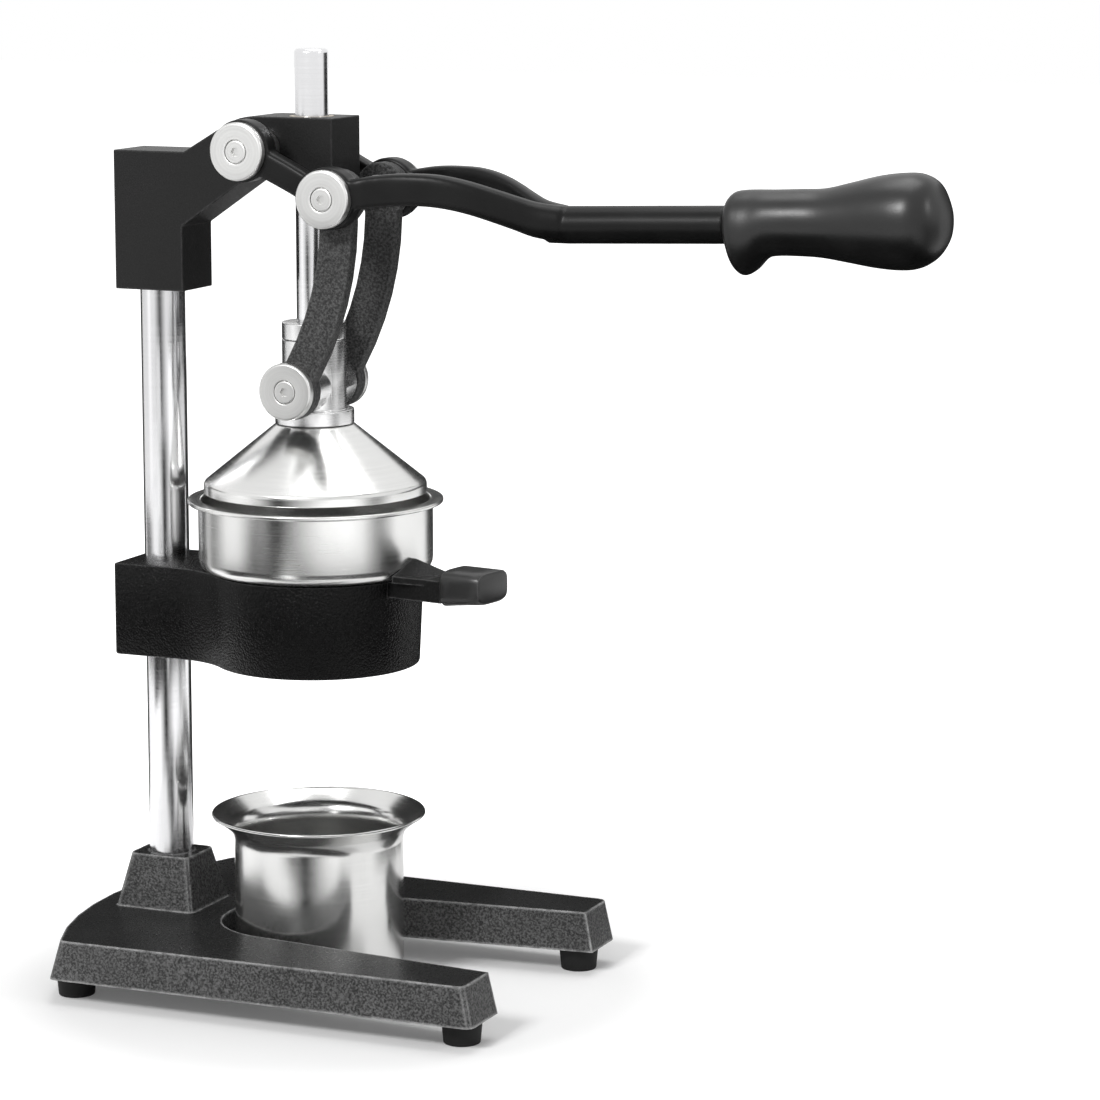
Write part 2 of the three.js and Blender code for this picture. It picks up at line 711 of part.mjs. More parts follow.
const link_outline = [
  ...link_edge(link_half_width, -link_bend_degrees, link_bend_degrees),
  ...link_edge(-link_half_width, link_bend_degrees, -link_bend_degrees),
];
for (const [place, side] of sides_of_press) {
  const span = [layer(side, link_inner), layer(side, link_outer)];
  const past = [layer(side, link_inner - overrun), layer(side, link_outer + overrun)];
  const bore = (x, z) => bar_y(stub_pin_radius + bore_gap, ...past, x, z, eye_sides);
  add_piece(`link_${place}`, side_plate(link_outline, ...span)
    .add(bar_y(link_top_eye, ...span, crank_x, crank_z, rod_sides))
    .add(bar_y(link_low_eye, ...span, ram_x, cross_z, rod_sides))
    .subtract(bore(crank_x, crank_z))
    .subtract(bore(ram_x, cross_z)), dark_cast, links);
}
let cross_pin = bar_y(stub_pin_radius, -link_outer, link_outer, ram_x, cross_z, eye_sides);
for (const [, side] of sides_of_press) {
  cross_pin = cross_pin.subtract(cap_screw_hole(side, link_outer, ram_x, cross_z));
}
add_piece('cross_pin', cross_pin, plain_steel, links);
for (const [place, side] of sides_of_press) {
  add_cap(`cross_${place}`, side, link_outer, ram_x, cross_z, links);
}

// Ram, crosshead, lock collar and press bell: they slide together
const slider = new THREE.Group();
press.add(slider);
const cross_top = cross_z + cross_top_rise;
const ram_socket_floor = cross_z + ram_socket_rise;
const ram_low = ram_socket_floor + face_gap;
add_piece('ram_rod', turned([
  [middle, ram_low], [ram_radius, ram_low], [ram_radius, ram_top - ram_end_chamfer],
  [ram_radius - ram_end_chamfer, ram_top], [middle, ram_top],
], ram_x, middle, rod_sides), chrome, slider);

const hub_top = cross_z - hub_top_drop;
const hub_low = hub_top - hub_height;
const bell_top = hub_low - face_gap;
const bell_shoulder = bell_top - bell_cone_height;
const bell_rim_low = bell_shoulder - bell_rim_height;
const boss_end = link_inner - face_gap;
const slot_half = stub_pin_radius + cross_slot_rise;
let crosshead = bar_z(cross_body_radius, hub_top - overrun, cross_top, ram_x)
  .add(bar_z(hub_radius, hub_low, hub_top, ram_x))
  .add(bar_y(cross_boss_radius, -boss_end, boss_end, ram_x, cross_z));
crosshead = crosshead.subtract(bar_z(ram_radius + bore_gap, ram_socket_floor, cross_top + overrun, ram_x));
for (const way of [-1, 1]) {
  crosshead = crosshead.subtract(bar_y(slot_half, -boss_end - overrun, boss_end + overrun,
    ram_x + way * cross_slot_reach, cross_z, eye_sides));
}
crosshead = crosshead.subtract(block(ram_x - cross_slot_reach, ram_x + cross_slot_reach,
  -boss_end - overrun, boss_end + overrun, cross_z - slot_half, cross_z + slot_half));
crosshead = crosshead.subtract(bar_z(bell_screw_radius + bore_gap, hub_low - overrun,
  bell_top + bell_screw_grip + face_gap, ram_x, middle, small_sides));
add_piece('crosshead', crosshead, steel, slider);

const collar_low = cross_top + face_gap;
add_piece('lock_collar', bar_z(cross_body_radius, collar_low, collar_low + collar_height, ram_x)
  .subtract(bar_z(ram_radius + bore_gap, collar_low - overrun, collar_low + collar_height + overrun,
    ram_x)), steel, slider);

const bell_hole = bell_screw_radius + bore_gap;
add_piece('press_bell', turned([
  [bell_hole, bell_top], [bell_top_radius, bell_top], [bell_radius, bell_shoulder],
  [bell_radius, bell_rim_low], [bell_radius - bell_wall, bell_rim_low],
  [bell_radius - bell_wall, bell_shoulder - bell_wall / 2],
  [bell_top_radius - bell_wall / 2, bell_top - bell_wall], [bell_hole, bell_top - bell_wall],
  [bell_hole, bell_top],
], ram_x), steel, slider);
const bell_screw_seat = bell_top - bell_wall - face_gap;
const bell_screw_low = bell_screw_seat - bell_screw_head_height;
add_piece('bell_screw', bar_z(bell_screw_head, bell_screw_low, bell_screw_seat, ram_x, middle, small_sides)
  .add(bar_z(bell_screw_radius, bell_screw_seat - overrun, bell_top + bell_screw_grip, ram_x, middle,
    small_sides))
  .subtract(bar_z(hex_radius(hex_key_flats), bell_screw_low - overrun, bell_screw_low + hex_key_depth,
    ram_x, middle, hex_sides)), plain_steel, slider);

// Bracket: a block on the column that flares into the ring
function neck_ring(z, radius) {
  const drop = bracket_half + bracket_fillet;
  const ahead = Math.sqrt((radius + bracket_fillet) ** 2 - drop ** 2);
  const end_degrees = THREE.MathUtils.radToDeg(Math.atan2(drop, ahead));
  const near = [
    [-bracket_rear, -bracket_half],
    ...arc(ram_x - ahead, -drop, bracket_fillet, 90, end_degrees, 6),
  ];
  const far = near.map(([x, y]) => [x, -y]).reverse();
  return [...near, ...far].map(([x, y]) => new THREE.Vector3(x, y, z));
}

// A box beside the ram's axis, turned to the funnel handle's direction
function handle_box(x0, x1, half, z0, z1) {
  const box = new THREE.BoxGeometry(x1 - x0, 2 * half, z1 - z0);
  box.translate((x0 + x1) / 2, middle, (z0 + z1) / 2);
  return solid(box.rotateZ(THREE.MathUtils.degToRad(handle_turn_degrees)).translate(ram_x, 0, 0));
}

const ring_foot_radius = ring_radius - ring_taper;
const bracket_screw_heights = [-1, 1].map((step) => (
  (bracket_low + bracket_high) / 2 + step * bracket_set_screw_pitch / 2));
let bracket = loft([neck_ring(bracket_low, ring_foot_radius), neck_ring(bracket_high, ring_radius)],
  from_above);
bracket = bracket.add(bar_z(ring_foot_radius, bracket_low, bracket_high, ram_x, middle, bowl_sides,
  ring_radius));
bracket = bracket.subtract(bar_z(ring_bore, bracket_low - overrun, bracket_high + overrun, ram_x, middle,
  bowl_sides));
bracket = bracket.subtract(bar_z(column_radius + bore_gap, bracket_low - overrun, bracket_high + overrun));
bracket = bracket.subtract(handle_box(ring_bore - overrun, ring_radius + overrun, notch_half,
  bracket_high - notch_depth, bracket_high + overrun));
for (const z of bracket_screw_heights) bracket = bracket.subtract(set_screw_hole(z, bracket_rear));
add_piece('bracket_casting', bracket, black_cast);
bracket_screw_heights.forEach((z, i) => add_set_screw(`bracket_set_screw_${i + 1}`, z));

// Funnel: one sheet from the flange to the spout
const funnel_floor = bracket_high + face_gap;
const flange_low = funnel_rim - funnel_flange_thickness;
const corner_radius = funnel_radius - funnel_corner;
const corner_height = funnel_floor + funnel_corner;
add_piece('funnel_bowl', turned([
  [spout_radius - funnel_wall, spout_low], [spout_radius, spout_low], [spout_radius, spout_top],
  [funnel_throat_radius, funnel_floor],
  ...arc(corner_radius, corner_height, funnel_corner, -90, 0, 3),
  [funnel_radius, flange_low], [funnel_flange_radius, flange_low], [funnel_flange_radius, funnel_rim],
  [funnel_radius - funnel_wall, funnel_rim],
  ...arc(corner_radius, corner_height, funnel_corner - funnel_wall, 0, -90, 3),
  [funnel_throat_radius - funnel_wall, funnel_floor + funnel_wall],
  [spout_radius - funnel_wall, spout_top + funnel_wall],
  [spout_radius - funnel_wall, spout_low],
], ram_x), steel);

// Strainer: a drilled dome standing on the funnel's floor
const strainer_low = funnel_floor + funnel_wall + face_gap;
const dome_radius = (strainer_edge_radius ** 2 + strainer_rise ** 2) / (2 * strainer_rise);
const dome_degrees = THREE.MathUtils.radToDeg(Math.asin(strainer_edge_radius / dome_radius));
const dome_middle = strainer_low + strainer_rise - dome_radius;
const hollow_radius = dome_radius - strainer_wall;
const hollow_degrees = THREE.MathUtils.radToDeg(Math.acos((strainer_low - dome_middle) / hollow_radius));
let strainer = turned([
  ...arc(middle, dome_middle, dome_radius, 90 - dome_degrees, 90, 4),
  ...arc(middle, dome_middle, hollow_radius, 90, 90 - hollow_degrees, 4),
  [strainer_edge_radius, strainer_low],
], ram_x);
for (const [row, holes] of [
  [strainer_inner_row, strainer_inner_holes], [strainer_outer_row, strainer_outer_holes],
]) {
  for (let i = 0; i < holes; i += 1) {
    const angle = 2 * Math.PI * i / holes;
    strainer = strainer.subtract(bar_z(strainer_hole_radius, strainer_low - overrun,
      strainer_low + strainer_rise + overrun, ram_x + row * Math.cos(angle), row * Math.sin(angle),
      hex_sides));
  }
}
add_piece('strainer', strainer, steel);

// Funnel handle, in a group turned about the ram's axis
const handle = new THREE.Group();
handle.position.x = ram_x;
handle.rotation.z = THREE.MathUtils.degToRad(handle_turn_degrees);
press.add(handle);
const handle_low = bracket_high - notch_depth + face_gap;
const handle_neck_high = bracket_high + handle_neck_rise;
const handle_grip_high = bracket_high + handle_grip_rise;
const handle_grip_low = handle_grip_high - handle_grip_depth;
const handle_grip_tip_low = handle_grip_high - handle_grip_tip_depth;
const handle_tang_high = handle_grip_high - handle_tang_cover;
const handle_tang_low = handle_tang_high - handle_tang_thickness;
const handle_outline = [
  [handle_root, handle_low], [handle_shoulder, handle_low], [handle_shoulder, handle_neck_high],
  [handle_step, handle_neck_high], [handle_step, bracket_high], [handle_root, bracket_high],
];

// The pad across its width: flat below, with low edges and a ridge in the middle
function handle_pad_ring(x, half, edge, ridge) {
  const outline = [
    [-half, funnel_floor], [half, funnel_floor], [half, funnel_floor + edge],
    [middle, funnel_floor + ridge], [-half, funnel_floor + edge],
  ];
  return outline.map(([y, z]) => new THREE.Vector3(x, y, z));
}

const neck_above_pad = handle_neck_high - funnel_floor;
const handle_pad = loft([
  handle_pad_ring(handle_pad_start, handle_pad_half, handle_pad_edge, handle_pad_rise),
  handle_pad_ring(handle_ridge_start, handle_pad_half, handle_pad_edge, handle_pad_rise),
  handle_pad_ring(handle_ridge_end, handle_half, neck_above_pad, neck_above_pad + handle_ridge_step),
], from_front).subtract(bar_z(funnel_radius + face_gap, funnel_floor - overrun,
  funnel_floor + handle_pad_rise + overrun, middle, middle, bowl_sides));
const handle_bracket = side_plate(handle_outline, -handle_half, handle_half)
  .add(handle_pad)
  .add(block(handle_shoulder - overrun, handle_tang_end, -handle_tang_half, handle_tang_half,
    handle_tang_low, handle_tang_high))
  .subtract(bar_z(handle_screw_radius + bore_gap, handle_tang_low - overrun, handle_tang_high + overrun,
    handle_screw_x, middle, small_sides));
add_piece('funnel_handle_bracket', handle_bracket, black_cast, handle);

function handle_grip_ring(x, inset, low) {
  const half = handle_grip_half - inset;
  const top = handle_grip_high - inset;
  const bottom = low + inset;
  const corner = handle_grip_edge;
  const quarter = (y, z, start) => arc(y, z, corner, start, start + quarter_turn, 3);
  const outline = [
    ...quarter(half - corner, top - corner, 0), ...quarter(corner - half, top - corner, 90),
    ...quarter(corner - half, bottom + corner, 180), ...quarter(half - corner, bottom + corner, 270),
  ];
  return outline.map(([y, z]) => new THREE.Vector3(x, y, z));
}

const handle_grip_start = handle_shoulder + face_gap;
const handle_grip_lean = (handle_grip_tip_low - handle_grip_low) / (handle_grip_end - handle_grip_start);
const grip_low_at = (x) => handle_grip_low + handle_grip_lean * (x - handle_grip_start);
const handle_grip_round = handle_grip_edge / 2;
const handle_screw_seat = grip_low_at(handle_screw_x) + handle_screw_sink;
const handle_grip = loft([
  handle_grip_ring(handle_grip_start, handle_grip_round, handle_grip_low),
  handle_grip_ring(handle_grip_start + handle_grip_round, 0, grip_low_at(handle_grip_start)),
  handle_grip_ring(handle_grip_end - handle_grip_edge, 0, grip_low_at(handle_grip_end)),
  handle_grip_ring(handle_grip_end, handle_grip_edge / 2, handle_grip_tip_low),
], from_front)
  .subtract(block(handle_grip_start - overrun, handle_tang_end + face_gap,
    -handle_tang_half - face_gap, handle_tang_half + face_gap,
    handle_tang_low - face_gap, handle_tang_high + face_gap))
  .subtract(bar_z(handle_screw_radius + bore_gap, handle_grip_low - overrun, handle_tang_low,
    handle_screw_x, middle, small_sides))
  .subtract(bar_z(handle_screw_head + bore_gap, handle_grip_low - overrun, handle_screw_seat,
    handle_screw_x, middle, small_sides));
add_piece('funnel_handle_grip', handle_grip, black_plastic, handle);
const handle_screw_top = handle_screw_seat - face_gap;
add_piece('funnel_handle_screw', bar_z(handle_screw_head, handle_screw_top - handle_screw_head_height,
  handle_screw_top, handle_screw_x, middle, small_sides)
  .add(bar_z(handle_screw_radius, handle_screw_top - handle_screw_head_height / 2, handle_tang_high,
    handle_screw_x, middle, small_sides)), plain_steel, handle);

// Cup with a flared lip, standing on the counter inside the base's yard
const cup = new THREE.Group();
press.add(cup);
const flare_start = cup_height - cup_flare;

function flare_curve(inner, drop, start, end) {
  const steps = 4;
  return Array.from({ length: steps + 1 }, (_, i) => {
    const angle = THREE.MathUtils.degToRad(start + (end - start) * i / steps);
    const reach = cup_rim_radius - inner;
    return [inner + reach * (1 - Math.cos(angle)), flare_start + (cup_flare - drop) * Math.sin(angle)];
  });
}

add_piece('juice_cup', turned([
  [middle, floor],
  ...arc(cup_radius - cup_foot_round, floor + cup_foot_round, cup_foot_round, -90, 0, 2),
  ...flare_curve(cup_radius, cup_wall, 0, 90),
  ...flare_curve(cup_radius - cup_wall, 0, 90, 0),
  ...arc(cup_radius - cup_foot_round, floor + cup_foot_round, cup_foot_round - cup_wall, 0, -90, 2),
  [middle, floor + cup_wall],
], ram_x), steel, cup);

// The origin goes under the middle of the whole box
const model_rear = -base_rear - base_rear_draft;
press.position.x = -(model_rear + grip_end_x) / 2;

export default press;
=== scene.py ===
import math

import bmesh
import bpy
from mathutils import Matrix, Vector


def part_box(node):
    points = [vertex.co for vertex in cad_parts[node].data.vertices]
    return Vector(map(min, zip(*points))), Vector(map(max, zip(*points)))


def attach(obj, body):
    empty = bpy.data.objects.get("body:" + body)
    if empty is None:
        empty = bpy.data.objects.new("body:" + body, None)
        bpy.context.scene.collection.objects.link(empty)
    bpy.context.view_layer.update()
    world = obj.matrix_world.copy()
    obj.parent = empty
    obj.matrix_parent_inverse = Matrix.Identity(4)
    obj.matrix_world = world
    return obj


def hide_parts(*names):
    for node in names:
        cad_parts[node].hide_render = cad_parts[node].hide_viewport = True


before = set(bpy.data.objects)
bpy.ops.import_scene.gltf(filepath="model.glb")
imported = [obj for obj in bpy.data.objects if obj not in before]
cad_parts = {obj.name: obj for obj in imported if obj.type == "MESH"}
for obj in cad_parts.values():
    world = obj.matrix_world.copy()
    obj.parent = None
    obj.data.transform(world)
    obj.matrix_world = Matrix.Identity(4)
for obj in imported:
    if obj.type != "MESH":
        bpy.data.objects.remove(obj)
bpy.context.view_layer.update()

MM = 0.001
FULL_TURN = 2 * math.pi
ROUND_STEPS = 96
ROD_STEPS = 72
SMALL_STEPS = 48
CORNER_STEPS = 5
HEX = 6

# Where things stand, in millimetres from the column's axis and the counter
column_low, column_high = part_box("column")
COLUMN_X = (column_low.x + column_high.x) / 2
RAM_X = 93.7
MAIN_X, MAIN_Z = 72.0, 467.6
CRANK_X, CRANK_Z = 123.0, 443.6
CROSS_Z = 337.5
TINE_IN, TINE_OUT = 32.4, 44.0
LINK_OUT = 32.0
GAP = 0.3

# Outer radii of the round pieces
COLUMN_R, RAM_R, BELL_R, FUNNEL_R, CUP_R = 12.5, 9.3, 61.5, 64.8, 47.2


# Mesh tools

def soften(profile):
    """Profile points (radius, height, rounding); a rounding above zero makes a small curve there."""
    points = []
    last = len(profile) - 1
    for i, (r, z, rounding) in enumerate(profile):
        here = Vector((r, z))
        if rounding <= 0 or i in (0, last):
            points.append(here)
            continue
        before = Vector(profile[i - 1][:2]) - here
        after = Vector(profile[i + 1][:2]) - here
        reach = min(rounding, before.length * 0.49, after.length * 0.49)
        start = here + before.normalized() * reach
        end = here + after.normalized() * reach
        for k in range(CORNER_STEPS + 1):
            t = k / CORNER_STEPS
            points.append(start * (1 - t) ** 2 + here * 2 * t * (1 - t) + end * t ** 2)
    return points


def turned(profile, x, y=0.0, steps=ROUND_STEPS, closed=False):
    """A bmesh spun about the upright axis through (x, y)."""
    bm = bmesh.new()
    verts = [bm.verts.new((x + p.x, y, p.y)) for p in soften(profile)]
    edges = [bm.edges.new(pair) for pair in zip(verts, verts[1:])]
    if closed:
        edges.append(bm.edges.new((verts[-1], verts[0])))
    bmesh.ops.spin(bm, geom=verts + edges, cent=(x, y, 0), axis=(0, 0, 1), dvec=(0, 0, 0),
                   angle=FULL_TURN, steps=steps, use_merge=True, use_duplicate=False)
    bmesh.ops.remove_doubles(bm, verts=bm.verts, dist=1e-4)
    bmesh.ops.recalc_face_normals(bm, faces=bm.faces)
    return bm


def lay_down(bm, x, z, side):
    """Turns a bmesh spun about the upright axis at x=0 so that its top faces -Y or +Y at (x, z)."""
    turn = Matrix.Rotation(math.radians(90 if side < 0 else -90), 4, "X")
    bmesh.ops.transform(bm, matrix=Matrix.Translation((x, 0, z)) @ turn, verts=bm.verts)
    return bm


def loft(rings):
    """A closed skin through rings of points."""
    bm = bmesh.new()
    loops = []
    for ring in rings:
        verts = [bm.verts.new(p) for p in ring]
        loops.append([bm.edges.new((verts[i - 1], verts[i])) for i in range(len(verts))])
    for a, b in zip(loops, loops[1:]):
        bmesh.ops.bridge_loops(bm, edges=a + b)
    bmesh.ops.edgeloop_fill(bm, edges=loops[0])
    bmesh.ops.edgeloop_fill(bm, edges=loops[-1])
    bmesh.ops.recalc_face_normals(bm, faces=bm.faces)
    return bm


def prism(outline, low, high):
    """An outline of (x, y) points raised from low to high."""
    bm = bmesh.new()
    face = bm.faces.new([bm.verts.new((x, y, low)) for x, y in outline])
    made = bmesh.ops.extrude_face_region(bm, geom=[face])
    top = [v for v in made["geom"] if isinstance(v, bmesh.types.BMVert)]
    bmesh.ops.translate(bm, verts=top, vec=(0, 0, high - low))
    bmesh.ops.recalc_face_normals(bm, faces=bm.faces)
    return bm


def hexagon(flats, x=0.0, y=0.0):
    radius = flats / 2 / math.cos(math.pi / HEX)
    return [(x + radius * math.cos(FULL_TURN * i / HEX), y + radius * math.sin(FULL_TURN * i / HEX))
            for i in range(HEX)]


def through(points, count):
    """Count points on a smooth line through tuples of numbers, spread evenly over their spans."""
    vectors = [Vector(p) for p in points]
    ends = [vectors[0] * 2 - vectors[1]] + vectors + [vectors[-1] * 2 - vectors[-2]]
    spans = len(vectors) - 1
    out = []
    for i in range(count):
        place = spans * i / (count - 1)
        k = min(int(place), spans - 1)
        t = place - k
        a, b, c, d = ends[k:k + 4]
        out.append((b * 2 + (c - a) * t + (a * 2 - b * 5 + c * 4 - d) * t ** 2
                    + (b * 3 - a - c * 3 + d) * t ** 3) / 2)
    return out


def to_object(name, bm):
    """A bmesh in millimetres from the column's axis, as an object in the frame."""
    bmesh.ops.transform(bm, matrix=Matrix.Translation((COLUMN_X, 0, 0)) @ Matrix.Scale(MM, 4),
                        verts=bm.verts)
    mesh = bpy.data.meshes.new(name)
    bm.to_mesh(mesh)
    bm.free()
    obj = bpy.data.objects.new(name, mesh)
    bpy.context.scene.collection.objects.link(obj)
    return obj


def settle(obj):
    """Applies an object's modifiers."""
    graph = bpy.context.evaluated_depsgraph_get()
    mesh = bpy.data.meshes.new_from_object(obj.evaluated_get(graph))
    obj.modifiers.clear()
    old = obj.data
    obj.data = mesh
    bpy.data.meshes.remove(old)
    return obj


def carve(obj, operation, *tools):
    """Joins tools to an object or takes them away, and removes them."""
    for tool in tools:
        step = obj.modifiers.new("carve", "BOOLEAN")
        step.operation = operation
        step.solver = "EXACT"
        step.object = tool
        settle(obj)
        bpy.data.objects.remove(tool)
    return obj


def dress(obj, material, body, replaced, angle=32):
    """Shading, finish, body and the CAD nodes that the piece stands for."""
    bm = bmesh.new()
    bm.from_mesh(obj.data)
    limit = math.radians(angle)
    for edge in bm.edges:
        edge.smooth = len(edge.link_faces) == 2 and edge.calc_face_angle(0) < limit
    for face in bm.faces:
        face.smooth = True
    bm.to_mesh(obj.data)
    bm.free()
    obj.data.materials.clear()
    obj.data.materials.append(material)
    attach(obj, body)
    if replaced:
        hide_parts(*replaced)
    return obj


def cast_copy(name, node, width, segments=3, sharp=28):
    """A merged copy of a CAD node with its sharp edges rounded."""
    bm = bmesh.new()
    bm.from_mesh(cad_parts[node].data)
    bmesh.ops.remove_doubles(bm, verts=bm.verts, dist=1e-5)
    bmesh.ops.dissolve_limit(bm, angle_limit=math.radians(0.6), verts=bm.verts, edges=bm.edges)
    limit = math.radians(sharp)
    edges = [e for e in bm.edges if len(e.link_faces) == 2 and e.calc_face_angle(0) > limit]
    bmesh.ops.bevel(bm, geom=edges, offset=width * MM, offset_type="OFFSET", segments=segments,
                    profile=0.5, affect="EDGES", material=-1, clamp_overlap=True)
    bmesh.ops.triangulate(bm, faces=[f for f in bm.faces if len(f.verts) > 4])
    mesh = bpy.data.meshes.new(name)
    bm.to_mesh(mesh)
    bm.free()
    obj = bpy.data.objects.new(name, mesh)
    bpy.context.scene.collection.objects.link(obj)
    normals = obj.modifiers.new("even_shading", "WEIGHTED_NORMAL")
    normals.keep_sharp = True
    return obj


# Node tools

def new_group(name, inputs, outputs):
    tree = bpy.data.node_groups.new(name, "ShaderNodeTree")
    for label, kind, value in inputs:
        socket = tree.interface.new_socket(name=label, in_out="INPUT", socket_type=kind)
        if value is not None:
            socket.default_value = value
    for label, kind in outputs:
        tree.interface.new_socket(name=label, in_out="OUTPUT", socket_type=kind)
    return tree, tree.nodes.new("NodeGroupInput"), tree.nodes.new("NodeGroupOutput")


def add(tree, kind, links=(), **values):
    """A node with its properties and socket values set, and links (socket, source) made."""
    node = tree.nodes.new(kind)
    for key, value in values.items():
        if hasattr(node, key):
            setattr(node, key, value)
        else:
            node.inputs[key.replace("_", " ").title()].default_value = value
    for socket, source in links:
        tree.links.new(source, node.inputs[socket])
    return node


def ramp(tree, source, low, high, low_value=0.0, high_value=1.0):
    """Maps source from low..high to low_value..high_value, clamped."""
    node = tree.nodes.new("ShaderNodeMapRange")
    tree.links.new(source, node.inputs[0])
    for i, value in enumerate((low, high, low_value, high_value)):
        node.inputs[i + 1].default_value = value
    return node.outputs[0]


def sums(tree, operation, a, b):
    node = tree.nodes.new("ShaderNodeMath")
    node.operation = operation
    for i, value in enumerate((a, b)):
        if isinstance(value, (int, float)):
            node.inputs[i].default_value = value
        else:
            tree.links.new(value, node.inputs[i])
    return node.outputs[0]


def mixed(tree, share, a, b):
    """A colour between a and b."""
    node = tree.nodes.new("ShaderNodeMix")
    node.data_type = "RGBA"
    tree.links.new(share, node.inputs[0])
    for i, value in ((6, a), (7, b)):
        if isinstance(value, tuple):
            node.inputs[i].default_value = (*value, 1.0)
        else:
            tree.links.new(value, node.inputs[i])
    return node.outputs[2]


def hammered_group():
    """Cast paint with a fine hammered skin: a height, and the light and dark of its grain."""
    tree, start, end = new_group("hammered_skin", [
        ("Vector", "NodeSocketVector", None), ("Scale", "NodeSocketFloat", 900.0)],
        [("Height", "NodeSocketFloat"), ("Grain", "NodeSocketFloat")])
    cells = add(tree, "ShaderNodeTexVoronoi", [("Vector", start.outputs[0]), ("Scale", start.outputs[1])],
                feature="SMOOTH_F1")
    cells.inputs["Smoothness"].default_value = 0.6
    fine = add(tree, "ShaderNodeTexNoise", [("Vector", start.outputs[0]), ("Scale", start.outputs[1])],
               Detail=3.0, Roughness=0.7)
    slow = add(tree, "ShaderNodeTexNoise", [("Vector", start.outputs[0])], Scale=240.0, Detail=2.0)
    pits = ramp(tree, cells.outputs["Distance"], 0.0, 0.75, 1.0, 0.0)
    height = sums(tree, "ADD", sums(tree, "MULTIPLY", pits, 0.5),
                  sums(tree, "MULTIPLY", fine.outputs[0], 0.5))
    tree.links.new(height, end.inputs[0])
    grain = sums(tree, "ADD", sums(tree, "MULTIPLY", ramp(tree, fine.outputs[0], 0.42, 0.6), 0.88),
                 sums(tree, "MULTIPLY", ramp(tree, slow.outputs[0], 0.3, 0.7), 0.15))
    tree.links.new(grain, end.inputs[1])
    return tree


def edge_group():
    """A mask that is one along rounded edges, broken up by noise; it places the painted edge highlights."""
    tree, start, end = new_group("edge_line", [
        ("Vector", "NodeSocketVector", None), ("Radius", "NodeSocketFloat", 0.0012)],
        [("Mask", "NodeSocketFloat")])
    soft = add(tree, "ShaderNodeBevel", [("Radius", start.outputs[1])], samples=4)
    bare = add(tree, "ShaderNodeNewGeometry")
    dot = add(tree, "ShaderNodeVectorMath", [(0, soft.outputs[0]), (1, bare.outputs["Normal"])],
              operation="DOT_PRODUCT")
    noise = add(tree, "ShaderNodeTexNoise", [("Vector", start.outputs[0])], Scale=180.0, Detail=4.0)
    line = ramp(tree, dot.outputs["Value"], 0.995, 0.93)
    broken = ramp(tree, noise.outputs[0], 0.35, 0.6, 0.35, 1.0)
    tree.links.new(sums(tree, "MULTIPLY", line, broken), end.inputs[0])
    return tree


def turned_grain_group():
    """Fine lines that run round an upright axis through the vector's origin, and slow smudges."""
    tree, start, end = new_group("turned_grain", [
        ("Vector", "NodeSocketVector", None), ("Fineness", "NodeSocketFloat", 1400.0)],
        [("Lines", "NodeSocketFloat"), ("Smudges", "NodeSocketFloat")])
    parts = add(tree, "ShaderNodeSeparateXYZ", [(0, start.outputs[0])])
    flat = add(tree, "ShaderNodeCombineXYZ", [(0, parts.outputs[0]), (1, parts.outputs[1])])
    radius = add(tree, "ShaderNodeVectorMath", [(0, flat.outputs[0])], operation="LENGTH")
    place = add(tree, "ShaderNodeCombineXYZ", [(0, radius.outputs["Value"]), (2, parts.outputs[2])])
    lines = add(tree, "ShaderNodeTexNoise", [("Vector", place.outputs[0]), ("Scale", start.outputs[1])],
                Detail=3.0, Roughness=0.6)
    smudge = add(tree, "ShaderNodeTexNoise", [("Vector", start.outputs[0])], Scale=28.0, Detail=3.0)
    tree.links.new(lines.outputs[0], end.inputs[0])
    tree.links.new(smudge.outputs[0], end.inputs[1])
    return tree


HAMMERED = hammered_group()
EDGE_LINE = edge_group()
TURNED_GRAIN = turned_grain_group()


def new_material(name):
    material = bpy.data.materials.new(name)
    material.use_nodes = True
    tree = material.node_tree
    shader = tree.nodes["Principled BSDF"]
    place = tree.nodes.new("ShaderNodeTexCoord").outputs["Object"]
    return material, tree, shader, place


def use_group(tree, group, links, **values):
    node = tree.nodes.new("ShaderNodeGroup")
    node.node_tree = group
    for socket, source in links:
        tree.links.new(source, node.inputs[socket])
    for key, value in values.items():
        node.inputs[key].default_value = value
    return node


def bump(tree, shader, height, strength, distance):
    node = tree.nodes.new("ShaderNodeBump")
    node.inputs["Strength"].default_value = strength
    node.inputs["Distance"].default_value = distance
    tree.links.new(height, node.inputs["Height"])
    tree.links.new(node.outputs[0], shader.inputs["Normal"])
    return node


